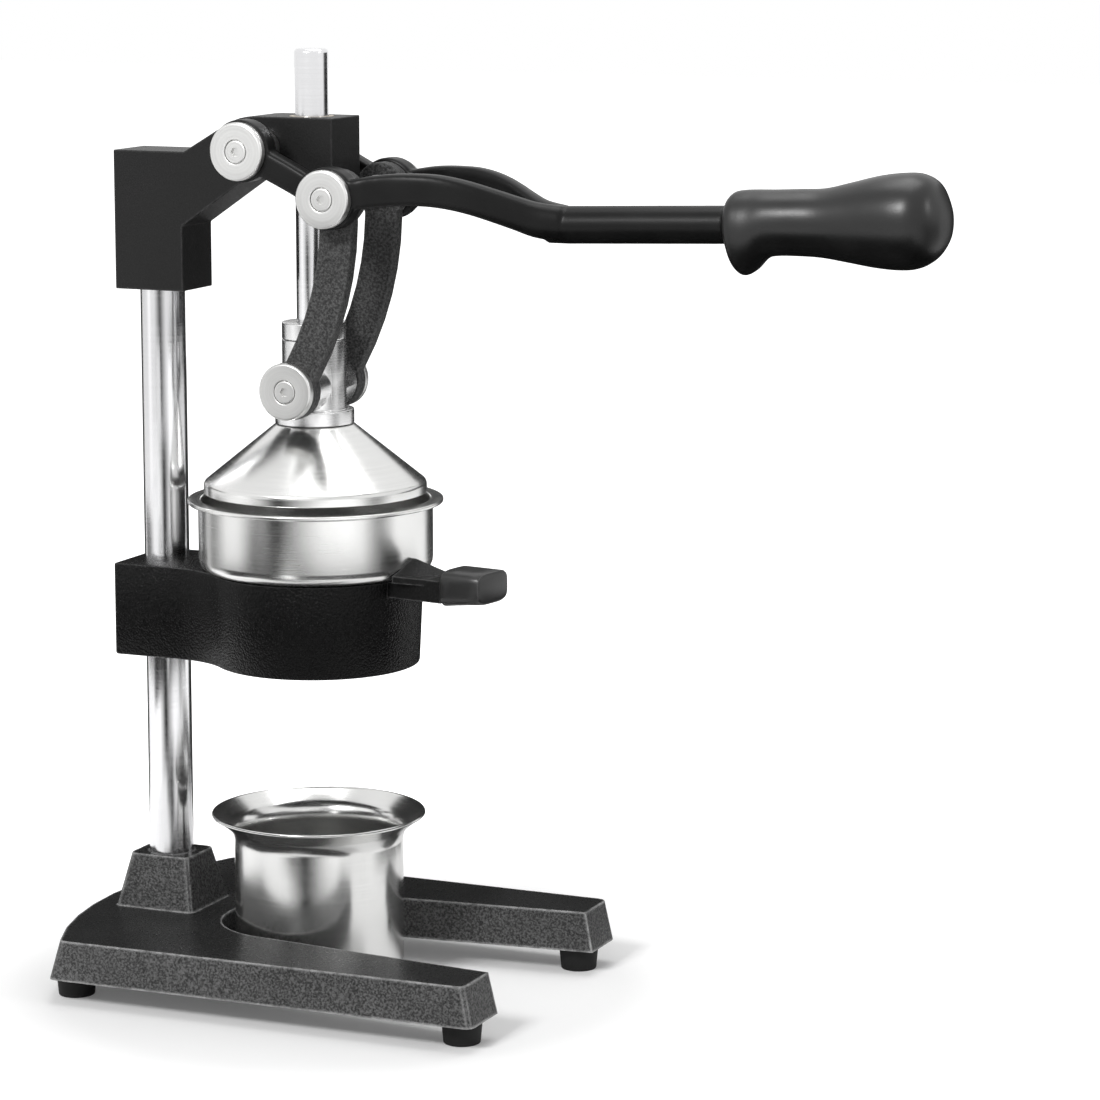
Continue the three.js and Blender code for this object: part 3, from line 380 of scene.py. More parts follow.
def cast_paint(name, dark, light, roughness, depth, scale=900.0, top=None, edge=0.2, edge_share=0.5,
               edge_radius=0.0012, specular=0.35):
    """Black casting paint between two greys; where top is set, level faces are satin in that grey."""
    material, tree, shader, place = new_material(name)
    skin = use_group(tree, HAMMERED, [(0, place)], Scale=scale)
    line = use_group(tree, EDGE_LINE, [(0, place)], Radius=edge_radius)
    patches = add(tree, "ShaderNodeTexNoise", [("Vector", place)], Scale=22.0, Detail=3.0)
    grained = mixed(tree, skin.outputs["Grain"], (dark,) * 3, (light,) * 3)
    tone = ramp(tree, patches.outputs[0], 0.35, 0.65)
    shaded = mixed(tree, sums(tree, "MULTIPLY", tone, 0.25), grained, (dark * 0.6,) * 3)
    height = skin.outputs["Height"]
    rough = ramp(tree, height, 0.2, 0.8, roughness - 0.05, roughness + 0.06)
    if top is not None:
        normal = add(tree, "ShaderNodeNewGeometry").outputs["True Normal"]
        upright = add(tree, "ShaderNodeSeparateXYZ", [(0, normal)]).outputs[2]
        side = ramp(tree, upright, 0.8, 0.95, 1.0, 0.0)
        satin = mixed(tree, tone, (top,) * 3, (top * 1.4,) * 3)
        shaded = mixed(tree, side, satin, shaded)
        height = sums(tree, "MULTIPLY", height, sums(tree, "ADD", sums(tree, "MULTIPLY", side, 0.9), 0.1))
        smoother = sums(tree, "MULTIPLY", sums(tree, "SUBTRACT", 1.0, side), 0.2)
        rough = sums(tree, "SUBTRACT", rough, smoother)
    # Rounded edges are lightened towards the edge grey: a painted highlight along the edges, partly edge
    # wear
    wear_and_highlight = mixed(tree, sums(tree, "MULTIPLY", line.outputs[0], edge_share), shaded, (edge,) * 3)
    tree.links.new(wear_and_highlight, shader.inputs["Base Color"])
    shader.inputs["Specular IOR Level"].default_value = specular
    tree.links.new(rough, shader.inputs["Roughness"])
    bump(tree, shader, height, 1.0, depth)
    return material


def smooth_paint(name, dark, light, roughness, edge_share=0.25, specular=0.5):
    """Satin black paint or moulded plastic with a faint orange peel."""
    material, tree, shader, place = new_material(name)
    peel = add(tree, "ShaderNodeTexNoise", [("Vector", place)], Scale=700.0, Detail=2.0)
    patches = add(tree, "ShaderNodeTexNoise", [("Vector", place)], Scale=35.0, Detail=4.0)
    line = use_group(tree, EDGE_LINE, [(0, place)])
    base = mixed(tree, ramp(tree, patches.outputs[0], 0.35, 0.65), (dark,) * 3, (light,) * 3)
    # Rounded edges are lightened towards a pale grey: a painted highlight along the edges, partly edge wear
    wear_and_highlight = mixed(tree, sums(tree, "MULTIPLY", line.outputs[0], edge_share), base, (0.16,) * 3)
    tree.links.new(wear_and_highlight, shader.inputs["Base Color"])
    shader.inputs["Specular IOR Level"].default_value = specular
    tree.links.new(ramp(tree, patches.outputs[0], 0.3, 0.7, roughness - 0.04, roughness + 0.05),
                   shader.inputs["Roughness"])
    bump(tree, shader, peel.outputs[0], 0.5, 0.00006)
    return material


def turned_metal(name, colour, roughness, fineness=1400.0, depth=0.00002, centre=(0, 0, 0), tilt=0.0,
                 dark=0.85):
    """Bright metal with lines round its axis; centre is that axis, and tilt turns it down to Y."""
    material, tree, shader, place = new_material(name)
    mapping = add(tree, "ShaderNodeMapping", [("Vector", place)])
    mapping.vector_type = "TEXTURE"
    mapping.inputs["Location"].default_value = centre
    mapping.inputs["Rotation"].default_value = (tilt, 0, 0)
    grain = use_group(tree, TURNED_GRAIN, [(0, mapping.outputs[0])], Fineness=fineness)
    lines, smudges = grain.outputs
    tint = mixed(tree, ramp(tree, lines, 0.3, 0.7), tuple(c * dark for c in colour), colour)
    tree.links.new(tint, shader.inputs["Base Color"])
    shader.inputs["Metallic"].default_value = 1.0
    rough = sums(tree, "ADD", ramp(tree, lines, 0.3, 0.7, -0.03, 0.04),
                 ramp(tree, smudges, 0.3, 0.7, roughness - 0.03, roughness + 0.04))
    tree.links.new(rough, shader.inputs["Roughness"])
    bump(tree, shader, lines, 1.0, depth)
    return material


RAM_AXIS = (COLUMN_X + RAM_X * MM, 0, 0)
CHROME, STEEL = (0.82, 0.82, 0.83), (0.8, 0.8, 0.79)
QUARTER_TURN = math.radians(90)
BASE_PAINT = cast_paint("base_hammered_paint", 0.01, 0.13, 0.5, 0.0006, scale=760.0, top=0.02, edge=0.5,
                        edge_share=1.0, edge_radius=0.0023)
HEAD_PAINT = cast_paint("head_satin_paint", 0.009, 0.013, 0.45, 0.00008, scale=1100.0, edge_share=0.3,
                        specular=0.2)
BRACKET_PAINT = cast_paint("bracket_hammered_paint", 0.003, 0.005, 0.24, 0.0006, scale=840.0,
                           edge_share=0.3, specular=0.14)
LINK_PAINT = cast_paint("link_textured_paint", 0.01, 0.085, 0.6, 0.0006, scale=760.0, edge_share=0.5)
HANDLE_PAINT = cast_paint("handle_bracket_paint", 0.005, 0.01, 0.4, 0.0002, specular=0.2)
LEVER_PAINT = smooth_paint("lever_satin_paint", 0.004, 0.007, 0.36, specular=0.17)
GRIP_PLASTIC = smooth_paint("lever_grip_plastic", 0.003, 0.005, 0.34, 0.1, 0.5)
TAB_PLASTIC = smooth_paint("handle_grip_plastic", 0.012, 0.017, 0.36, 0.3, 0.6)
RUBBER = smooth_paint("foot_rubber", 0.006, 0.01, 0.7, 0.1, 0.3)
COLUMN_CHROME = turned_metal("column_chrome", (0.8, 0.8, 0.81), 0.17, 900.0, 0.000003,
                             (COLUMN_X, 0, 0), dark=0.95)
RAM_CHROME = turned_metal("ram_chrome", CHROME, 0.17, 900.0, 0.000003, RAM_AXIS, dark=0.95)
CROSSHEAD_METAL = turned_metal("crosshead_turned_metal", (0.8, 0.8, 0.8), 0.24, 1300.0, 0.000001,
                               RAM_AXIS, dark=0.93)
BELL_STEEL = turned_metal("bell_polished_steel", STEEL, 0.2, 1500.0, 0.000003, RAM_AXIS, dark=0.93)
FUNNEL_STEEL = turned_metal("funnel_brushed_steel", STEEL, 0.22, 1700.0, 0.000003, RAM_AXIS, dark=0.93)
CUP_STEEL = turned_metal("cup_polished_steel", STEEL, 0.19, 1500.0, 0.000002, RAM_AXIS, dark=0.93)
BRONZE = turned_metal("bush_bronze", (0.5, 0.44, 0.36), 0.4, 1200.0, 0.00001, RAM_AXIS)


def face_metal(name, x, z, colour=(0.7, 0.7, 0.69), roughness=0.36):
    """Turned faces at a pivot, with lines round the pivot's axis."""
    return turned_metal(name, colour, roughness, 1100.0, 0.00002, (COLUMN_X + x * MM, 0, z * MM),
                        QUARTER_TURN, dark=0.9)


PIVOTS = {"main": (MAIN_X, MAIN_Z), "link_pin": (CRANK_X, CRANK_Z), "cross": (RAM_X, CROSS_Z)}
CAP_METAL = {key: face_metal(key + "_cap_metal", x, z) for key, (x, z) in PIVOTS.items()}
PIN_STEEL = {key: face_metal(key + "_pin_steel", x, z, (0.6, 0.6, 0.6), 0.3)
             for key, (x, z) in PIVOTS.items()}
SCREW_STEEL = turned_metal("screw_steel", (0.55, 0.55, 0.55), 0.34, 800.0, 0.00001, (COLUMN_X, 0, 0))

# Castings; width is the rounding of their edges

for piece, node, width, paint, body, slot in (
        ("base", "base_casting", 1.3, BASE_PAINT, "stand", "base_paint"),
        ("head", "head_casting", 1.0, HEAD_PAINT, "stand", "head_paint"),
        ("near_link", "link_near", 0.9, LINK_PAINT, "links", "link_paint"),
        ("far_link", "link_far", 0.9, LINK_PAINT, "links", "link_paint"),
        ("handle_bracket", "funnel_handle_bracket", 1.0, HANDLE_PAINT, "stand", "handle_paint")):
    dress(cast_copy(piece, node, width), paint, body, [node])

# Funnel bracket: a block on the column that flares into the ring

BRACKET_LOW, BRACKET_HIGH = 183.0, 234.9
BRACKET_REAR, BRACKET_HALF, BRACKET_FILLET, BRACKET_CORNER = 18.8, 28.3, 50.0, 2.0
BRACKET_EDGE = 1.2
RING_R, RING_TAPER, RING_BORE = 59.6, 2.5, 51.5
BELOW, ABOVE = BRACKET_LOW - 2, BRACKET_HIGH + 2.1
SCREW_HOLE_R, SCREW_HOLE_DEPTH, SCREW_HOLE_HEIGHTS = 4.3, 25, (196.0, 222.0)
COLUMN_BORE = 12.8
NOTCH_IN, NOTCH_OUT, NOTCH_HALF, NOTCH_LOW = 50, 64, 13, 225.9
HANDLE_TURN = math.radians(-10)


def arc(x, y, radius, start, end, steps):
    """Points on an arc with both ends, angles in degrees."""
    turns = [math.radians(start + (end - start) * k / steps) for k in range(steps + 1)]
    return [(x + radius * math.cos(turn), y + radius * math.sin(turn)) for turn in turns]


def handle_place(bm):
    """Moves a bmesh made along X to the funnel's handle."""
    bmesh.ops.transform(bm, matrix=Matrix.Translation((RAM_X, 0, 0)) @ Matrix.Rotation(HANDLE_TURN, 4, "Z"),
                        verts=bm.verts)
    return bm


def bracket_ring(z, inset):
    """The bracket's outline at a height, drawn in by inset."""
    radius = RING_R - RING_TAPER * (BRACKET_HIGH - z) / (BRACKET_HIGH - BRACKET_LOW)
    drop = BRACKET_HALF + BRACKET_FILLET
    ahead = math.sqrt((radius + BRACKET_FILLET) ** 2 - drop ** 2)
    turn = math.degrees(math.atan2(drop, ahead))
    near = arc(BRACKET_CORNER - BRACKET_REAR, BRACKET_CORNER - BRACKET_HALF, BRACKET_CORNER - inset,
               180, 270, 4)
    near += arc(RAM_X - ahead, -drop, BRACKET_FILLET + inset, 90, turn, 16)
    ring = arc(RAM_X, 0, radius - inset, turn - 180, 180 - turn, ROUND_STEPS)
    far = [(x, -y) for x, y in reversed(near)]
    return [Vector((x, y, z)) for x, y in near + ring[1:-1] + far]


bracket = to_object("funnel_bracket", loft([bracket_ring(z, inset) for z, inset in (
    (BRACKET_LOW, BRACKET_EDGE), (BRACKET_LOW + 0.35, 0.35), (BRACKET_LOW + BRACKET_EDGE, 0),
    (BRACKET_HIGH - BRACKET_EDGE, 0), (BRACKET_HIGH - 0.35, 0.35), (BRACKET_HIGH, BRACKET_EDGE))]))
ring_bore = turned([(0, BELOW, 0), (RING_BORE + 1.9, BELOW, 0), (RING_BORE, BRACKET_LOW + 1, 0.8),
                    (RING_BORE, BRACKET_HIGH - 1, 0.8), (RING_BORE + 1.7, ABOVE, 0), (0, ABOVE, 0)],
                   RAM_X, steps=ROUND_STEPS * 2)
column_bore = turned([(0, BELOW, 0), (COLUMN_BORE, BELOW, 0), (COLUMN_BORE, ABOVE, 0), (0, ABOVE, 0)], 0)
notch = handle_place(prism([(NOTCH_IN, -NOTCH_HALF), (NOTCH_OUT, -NOTCH_HALF), (NOTCH_OUT, NOTCH_HALF),
                            (NOTCH_IN, NOTCH_HALF)], NOTCH_LOW, ABOVE + 1))
carve(bracket, "DIFFERENCE", to_object("ring_bore", ring_bore), to_object("column_bore", column_bore),
      to_object("notch", notch))
for z in SCREW_HOLE_HEIGHTS:
    hole = turned([(0, -SCREW_HOLE_DEPTH, 0), (SCREW_HOLE_R, -SCREW_HOLE_DEPTH, 0), (SCREW_HOLE_R, 0, 0),
                   (0, 0, 0)], 0, steps=SMALL_STEPS)
    bmesh.ops.transform(hole, verts=hole.verts,
                        matrix=Matrix.Translation((0, 0, z)) @ Matrix.Rotation(QUARTER_TURN, 4, "Y"))
    carve(bracket, "DIFFERENCE", to_object("screw_hole", hole))
dress(bracket, BRACKET_PAINT, "stand", ["bracket_casting"])

# Column and ram

COLUMN_FOOT, COLUMN_TOP, RAM_FOOT, RAM_TOP = 31.8, 455.0, 347.8, 521
dress(to_object("column_bar", turned([
    (0, COLUMN_FOOT, 0), (COLUMN_R, COLUMN_FOOT, 0.6), (COLUMN_R, COLUMN_TOP, 0.6),
    (0, COLUMN_TOP, 0)], 0)),
    COLUMN_CHROME, "stand", ["column"])
dress(to_object("ram_bar", turned([
    (0, RAM_FOOT, 0), (RAM_R, RAM_FOOT, 0.5), (RAM_R, RAM_TOP - 1.4, 0.8), (RAM_R - 1.2, RAM_TOP, 0.6),
    (0, RAM_TOP, 0)], RAM_X)),
    RAM_CHROME, "press", ["ram_rod"])

# Pivot caps and their screws

CAP_R, CAP_THICKNESS, CAP_BORE, CAP_DISH = 15.7, 4.4, 3.4, 0.9
SHANK_R, SCREW_HEAD_R, KEY_FLATS, KEY_DEPTH = 2.9, 6.1, 4.6, 1.6
for key, seat, body in (("main", TINE_OUT, "stand"), ("link_pin", TINE_OUT, "lever"),
                        ("cross", LINK_OUT, "links")):
    x, z = PIVOTS[key]
    for place, side in (("near", -1), ("far", 1)):
        node = f"{key}_{place}"
        inner = seat + GAP
        outer = inner + CAP_THICKNESS
        dish = outer - CAP_DISH
        rim = [(CAP_BORE, inner, 0), (CAP_R, inner, 0.3), (CAP_R, dish, 0.5),
               (CAP_R - CAP_DISH, outer, 0.5), (SCREW_HEAD_R + 0.5, outer, 0.5),
               (SCREW_HEAD_R + 0.2, dish, 0), (CAP_BORE, dish, 0)]
        cap = lay_down(turned(rim, 0, steps=SMALL_STEPS * 2, closed=True), x, z, side)
        dress(to_object(node + "_disc", cap), CAP_METAL[key], body, [node + "_cap"])
        head = turned([(0, seat - 8, 0), (SHANK_R, seat - 8, 0), (SHANK_R, outer - 0.7, 0),
                       (SCREW_HEAD_R, outer - 0.7, 0.1), (SCREW_HEAD_R, outer - 0.2, 0.3),
                       (SCREW_HEAD_R - 0.6, outer, 0.2), (0, outer, 0)], 0, steps=SMALL_STEPS)
        screw = to_object(node + "_socket_screw", lay_down(head, x, z, side))
        key_hole = prism(hexagon(KEY_FLATS), outer - KEY_DEPTH, outer + 2)
        carve(screw, "DIFFERENCE", to_object("key_hole", lay_down(key_hole, x, z, side)))
        dress(screw, CAP_METAL[key], body, [node + "_screw"])

# Crosshead, collar and bell

CROSSHEAD_LOW, HUB_TOP, CROSSHEAD_TOP = 316.7, 324.7, 363.0
HUB_R, CROSSHEAD_R, BOSS_R, BOSS_HALF = 21.8, 17.6, 15, 23.1
SOCKET_R, SOCKET_FLOOR, THREAD_R, THREAD_TOP = 9.6, 347.5, 5.3, 325.7
SLOT_REACH, SLOT_R, SLOT_STEPS = 5.6, 7.1, 12
COLLAR_TOP = 372.5
BELL_TOP, BELL_FOOT, BELL_WALL = 316.4, 278.2, 3


def slot_outline():
    """The cross pin's slot, with half a turn at each end."""
    points = []
    for way, offset in ((1, 90), (-1, 270)):
        for k in range(SLOT_STEPS + 1):
            turn = math.radians(offset - 180 * k / SLOT_STEPS)
            points.append((SLOT_REACH * way + SLOT_R * math.cos(turn), SLOT_R * math.sin(turn)))
    return points


cross = to_object("crosshead_body", turned([
    (0, CROSSHEAD_LOW, 0), (HUB_R, CROSSHEAD_LOW, 0.6), (HUB_R, HUB_TOP, 0.9), (CROSSHEAD_R, HUB_TOP, 0.8),
    (CROSSHEAD_R, CROSSHEAD_TOP, 0.7), (0, CROSSHEAD_TOP, 0)], RAM_X))
boss = turned([(0, -BOSS_HALF, 0), (BOSS_R, -BOSS_HALF, 0.9), (BOSS_R, BOSS_HALF, 0.9), (0, BOSS_HALF, 0)],
              0, steps=ROD_STEPS)
carve(cross, "UNION", to_object("boss", lay_down(boss, RAM_X, CROSS_Z, -1)))
socket = turned([(0, SOCKET_FLOOR, 0), (SOCKET_R, SOCKET_FLOOR, 0), (SOCKET_R, CROSSHEAD_TOP + 7, 0),
                 (0, CROSSHEAD_TOP + 7, 0)], RAM_X)
slot = prism(slot_outline(), -BOSS_HALF - 2.9, BOSS_HALF + 2.9)
thread = turned([(0, CROSSHEAD_LOW - 6.7, 0), (THREAD_R, CROSSHEAD_LOW - 6.7, 0), (THREAD_R, THREAD_TOP, 0),
                 (0, THREAD_TOP, 0)], RAM_X)
carve(cross, "DIFFERENCE", to_object("socket", socket),
      to_object("slot", lay_down(slot, RAM_X, CROSS_Z, -1)), to_object("thread", thread))
dress(cross, CROSSHEAD_METAL, "press", ["crosshead"])

dress(to_object("collar_ring", turned([
    (SOCKET_R, CROSSHEAD_TOP + GAP, 0.3), (CROSSHEAD_R, CROSSHEAD_TOP + GAP, 0.6),
    (CROSSHEAD_R, COLLAR_TOP, 0.9), (SOCKET_R, COLLAR_TOP, 0.4)], RAM_X, closed=True)),
    CROSSHEAD_METAL, "press", ["lock_collar"])

dress(to_object("bell_cone", turned([
    (THREAD_R, BELL_TOP, 0), (21.6, BELL_TOP, 1.2), (BELL_R - 0.6, 284.6, 1.6), (BELL_R, 283.0, 0.8),
    (BELL_R, BELL_FOOT + 0.5, 0.4), (BELL_R - 0.5, BELL_FOOT, 0.4), (BELL_R - 2.5, BELL_FOOT, 0.4),
    (BELL_R - BELL_WALL, BELL_FOOT + 0.5, 0.4), (BELL_R - BELL_WALL, 282.5, 1.5),
    (21.4, BELL_TOP - BELL_WALL, 2.0), (THREAD_R, BELL_TOP - BELL_WALL, 0)],
    RAM_X, steps=ROUND_STEPS * 2, closed=True)),
    BELL_STEEL, "press", ["press_bell"])

# Funnel, strainer and cup

FLOOR_Z, SPOUT_LOW, SPOUT_TOP, FLANGE_TOP = 235.2, 187, 203, 275.0
SPOUT_R, FLANGE_R, FUNNEL_WALL = 15.5, 70.6, 2
dress(to_object("funnel_shell", turned([
    (SPOUT_R - FUNNEL_WALL, SPOUT_LOW, 0.4), (SPOUT_R, SPOUT_LOW, 0.5), (SPOUT_R, SPOUT_TOP, 3),
    (49.5, FLOOR_Z, 3), (FUNNEL_R, FLOOR_Z, 7.4), (FUNNEL_R, FLANGE_TOP - 2.3, 1.2),
    (FLANGE_R - 0.5, FLANGE_TOP - 2.3, 0.4), (FLANGE_R, FLANGE_TOP - 1.8, 0.4),
    (FLANGE_R, FLANGE_TOP - 0.5, 0.4), (FLANGE_R - 0.5, FLANGE_TOP, 0.4), (FUNNEL_R - 1.2, FLANGE_TOP, 1.2),
    (FUNNEL_R - FUNNEL_WALL, FLANGE_TOP - 1, 0.6), (FUNNEL_R - FUNNEL_WALL, FLOOR_Z + FUNNEL_WALL, 5.8),
    (47.5, FLOOR_Z + FUNNEL_WALL, 2), (SPOUT_R - FUNNEL_WALL, SPOUT_TOP + FUNNEL_WALL, 3)],
    RAM_X, steps=ROUND_STEPS * 2, closed=True)),
    FUNNEL_STEEL, "stand", ["funnel_bowl"])

EDGE_R, RISE, SHEET = 55.6, 22.0, 1.8
DOME_R = (EDGE_R ** 2 + RISE ** 2) / (2 * RISE)
DOME_LOW = FLOOR_Z + FUNNEL_WALL + GAP
DOME_MIDDLE = DOME_LOW + RISE - DOME_R
STRAINER_HOLE_R, STRAINER_ROWS = 2.6, ((20.0, 6), (36.0, 10))


def dome_line(radius, edge, count=18):
    """Points of a dome's half section from its crown out to its edge."""
    widest = math.asin(edge / radius)
    return [(radius * math.sin(widest * k / count), DOME_MIDDLE + radius * math.cos(widest * k / count), 0)
            for k in range(count + 1)]


inner_r = DOME_R - SHEET
inner_edge = math.sqrt(inner_r ** 2 - (DOME_LOW - DOME_MIDDLE) ** 2)
dome = to_object("strainer_dome", turned(
    dome_line(DOME_R, EDGE_R) + list(reversed(dome_line(inner_r, inner_edge))), RAM_X, steps=ROUND_STEPS))
drills = bmesh.new()
for row, holes in STRAINER_ROWS:
    for k in range(holes):
        turn = FULL_TURN * k / holes
        middle = (RAM_X + row * math.cos(turn), row * math.sin(turn), DOME_LOW + 14)
        bmesh.ops.create_cone(drills, cap_ends=True, segments=20, depth=30, radius1=STRAINER_HOLE_R,
                              radius2=STRAINER_HOLE_R, matrix=Matrix.Translation(middle))
carve(dome, "DIFFERENCE", to_object("drills", drills))
dress(dome, FUNNEL_STEEL, "stand", ["strainer"])

CUP_WALL, NECK_Z, LIP_R, LIP_TOP = 1.8, 83.6, 59.8, 97.7
dress(to_object("cup_shell", turned([
    (0, 0, 0), (CUP_R, 0, 4.0), (CUP_R, NECK_Z, 5), (49.3, 88.4, 3), (58.2, 95.6, 0.3),
    (LIP_R - 0.4, 95.7, 0.5), (LIP_R, 96.6, 0.5), (LIP_R - 0.5, LIP_TOP - 0.1, 0.5), (58.1, LIP_TOP, 0.5),
    (57.2, 96.9, 0.4), (47.6, 90.0, 3), (CUP_R - CUP_WALL, NECK_Z + 1, 4), (CUP_R - CUP_WALL, CUP_WALL, 3),
    (0, CUP_WALL, 0)], RAM_X, steps=ROUND_STEPS * 2)),
    CUP_STEEL, "cup", ["juice_cup"])

# Lever fork

SHAFT_X, SHAFT_Z = 246.0, 430.8
SHAFT_END_X, SHAFT_END_Z = 335.8, 434.0
SHAFT_R, TANG_R, TANG_END = 10.1, 6.0, 417
EYE_R, MAIN_BORE, PIN_BORE = 17, 8.6, 5.8
TINE_STATIONS = [
    # x, height, half height, distance from the middle plane, half thickness
    (72, 467.6, 8.3, 38.2, 5.8), (97, 455.9, 8.3, 38.2, 5.8), (123, 443.9, 8.3, 38.2, 5.8),
    (140, 446.6, 8.4, 38.2, 5.8), (150, 448.1, 8.5, 35.3, 5.8), (160, 448.9, 8.6, 32.3, 5.8),
    (170, 449.1, 8.6, 30.2, 5.9), (180, 448.7, 8.7, 28.3, 6.0), (190, 447.2, 8.7, 26.0, 6.2),
    (200, 444.6, 8.7, 22.6, 6.5), (210, 441.0, 8.8, 17.7, 7.0), (220, 437.0, 9.0, 11.8, 7.6),
    (230, 433.3, 9.4, 6.8, 8.2), (244, 431.2, 9.6, 2.0, 8.8)]
SIDEWAYS, UPWARDS = Vector((0, 1, 0)), Vector((0, 0, 1))


def rounded_ring(middle, across, up, half_across, half_up, squareness, count=28):
    """A ring of points on a rounded box section; a squareness of 2 makes an ellipse."""
    ring = []
    power = 2 / squareness
    for k in range(count):
        turn = FULL_TURN * (k + 0.5) / count
        c, s = math.cos(turn), math.sin(turn)
        ring.append(middle + across * (half_across * math.copysign(abs(c) ** power, c))
                    + up * (half_up * math.copysign(abs(s) ** power, s)))
    return ring


def tine(side):
    """One tine of the fork, square at its eyes and nearly round where it joins the shaft."""
    rings = []
    for x, z, half_up, y, half_across in through(TINE_STATIONS, 70):
        squareness = 5.0 - 2.6 * min(max((x - 150) / 90, 0), 1)
        rings.append(rounded_ring(Vector((x, side * y, z)), SIDEWAYS, UPWARDS, half_across, half_up,
                                  squareness))
    return loft(rings)


def round_bar(points, radii, count=40):
    """A bar of round sections through points (x, z) in the middle plane."""
    return loft([[Vector((x, r * math.cos(FULL_TURN * k / count), z + r * math.sin(FULL_TURN * k / count)))
                  for k in range(count)] for (x, z), r in zip(points, radii)])


fork = to_object("lever_frame", round_bar(
    [(SHAFT_X - 12, SHAFT_Z - 0.4), (SHAFT_X, SHAFT_Z), (SHAFT_END_X, SHAFT_END_Z)],
    [SHAFT_R - 0.4, SHAFT_R, SHAFT_R]))
tang = round_bar([(SHAFT_END_X - 3, SHAFT_END_Z), (TANG_END, SHAFT_END_Z)], [TANG_R, TANG_R])
parts = [fork, to_object("tang", tang)]
for side in (-1, 1):
    parts.append(to_object("tine", tine(side)))
    for x, z in (PIVOTS["main"], PIVOTS["link_pin"]):
        eye = turned([(0, TINE_IN, 0), (EYE_R, TINE_IN, 0.9), (EYE_R, TINE_OUT, 0.9), (0, TINE_OUT, 0)],
                     0, steps=SMALL_STEPS)
        parts.append(to_object("eye", lay_down(eye, x, z, side)))
whole = bmesh.new()
for part in parts:
    whole.from_mesh(part.data)
whole.to_mesh(fork.data)
whole.free()
for part in parts[1:]:
    bpy.data.objects.remove(part)
weld = fork.modifiers.new("weld", "REMESH")
weld.mode = "VOXEL"
weld.voxel_size = 0.95 * MM
ease = fork.modifiers.new("ease", "SMOOTH")
ease.factor = 0.5
ease.iterations = 5
settle(fork)
for side in (-1, 1):
    for (x, z), radius in ((PIVOTS["main"], MAIN_BORE), (PIVOTS["link_pin"], PIN_BORE)):
        bore = turned([(0, TINE_IN - 3, 0), (radius, TINE_IN - 3, 0), (radius, TINE_OUT + 3, 0),
                       (0, TINE_OUT + 3, 0)], 0, steps=SMALL_STEPS)
        carve(fork, "DIFFERENCE", to_object("bore", lay_down(bore, x, z, side)))
dress(fork, LEVER_PAINT, "lever", ["lever_fork"], angle=50)

# Lever grip

GRIP_START, GRIP_END, GRIP_Z = 336.1, 456.8, 436.6
GRIP_BODY, GRIP_LIP = 17.4, 29.0
GRIP_BORE, GRIP_BORE_END = 6.3, 418.1
GRIP_STATIONS = [
    # share of the length, top share, bottom share, half width share
    (0.000, 0.35, 0.30, 0.45), (0.004, 0.56, 0.43, 0.66), (0.016, 0.74, 0.57, 0.84),
    (0.040, 0.87, 0.85, 0.95), (0.080, 0.92, 0.985, 1.00), (0.128, 0.94, 0.90, 1.00),
    (0.177, 0.95, 0.69, 1.00), (0.225, 0.96, 0.617, 1.00), (0.330, 1.00, 0.603, 1.00),
    (0.440, 1.045, 0.617, 1.02), (0.554, 1.236, 0.68, 1.13), (0.682, 1.466, 0.755, 1.30),
    (0.795, 1.575, 0.78, 1.42), (0.875, 1.563, 0.73, 1.40), (0.939, 1.330, 0.57, 1.18),
    (0.979, 0.830, 0.345, 0.80), (0.994, 0.5, 0.16, 0.45), (1.0, 0.25, 0.03, 0.16)]
grip_rings = []
for along, up, down, wide in through(GRIP_STATIONS, 103):
    top = GRIP_Z + GRIP_BODY * up
    bottom = GRIP_Z - GRIP_LIP * down
    middle = Vector((GRIP_START + (GRIP_END - GRIP_START) * min(max(along, 0), 1), 0, (top + bottom) / 2))
    grip_rings.append(rounded_ring(middle, SIDEWAYS, UPWARDS, GRIP_BODY * wide, (top - bottom) / 2,
                                   2.15, 56))
grip = to_object("lever_handgrip", loft(grip_rings))
hollow = round_bar([(GRIP_START - 3, SHAFT_END_Z), (GRIP_BORE_END, SHAFT_END_Z)], [GRIP_BORE, GRIP_BORE])
carve(grip, "DIFFERENCE", to_object("hollow", hollow))
dress(grip, GRIP_PLASTIC, "lever", ["lever_grip"], angle=50)

# Funnel handle's grip

TAB_START, TAB_END, TAB_HALF = 92.3, 118.4, 14.7
TAB_TOP, TAB_LOW, TAB_TIP_LOW = 244.6, 224.4, 227.4
TANG_HALF, TANG_LOW, TANG_TOP, TANG_TIP = 8.3, 231.7, 237.3, 112.3
TAB_SCREW_X, TAB_SHANK_R, TAB_HEAD_R, TAB_SEAT = 105, 2.3, 3.9, 228.3

tab_rings = []
for x, inset, low in ((TAB_START, 2.2, TAB_LOW + 1.0), (TAB_START + 0.5, 1.0, TAB_LOW + 0.4),
                      (TAB_START + 1.8, 0.0, TAB_LOW), (TAB_START + 8, 0.0, TAB_LOW + 0.9),
                      (TAB_END - 8, 0.0, TAB_TIP_LOW - 0.9), (TAB_END - 1.4, 0.0, TAB_TIP_LOW - 0.2),
                      (TAB_END - 0.4, 0.5, TAB_TIP_LOW), (TAB_END, 1.6, TAB_TIP_LOW + 0.2)):
    middle = Vector((x, 0, (TAB_TOP - inset + low + inset) / 2))
    tab_rings.append(rounded_ring(middle, SIDEWAYS, UPWARDS, TAB_HALF - inset,
                                  (TAB_TOP - low - 2 * inset) / 2, 4.2, 64))
tab = to_object("handle_grip_tab", handle_place(loft(tab_rings)))
hole = prism([(TAB_START - 3, -TANG_HALF), (TANG_TIP, -TANG_HALF), (TANG_TIP, TANG_HALF),
              (TAB_START - 3, TANG_HALF)], TANG_LOW, TANG_TOP)
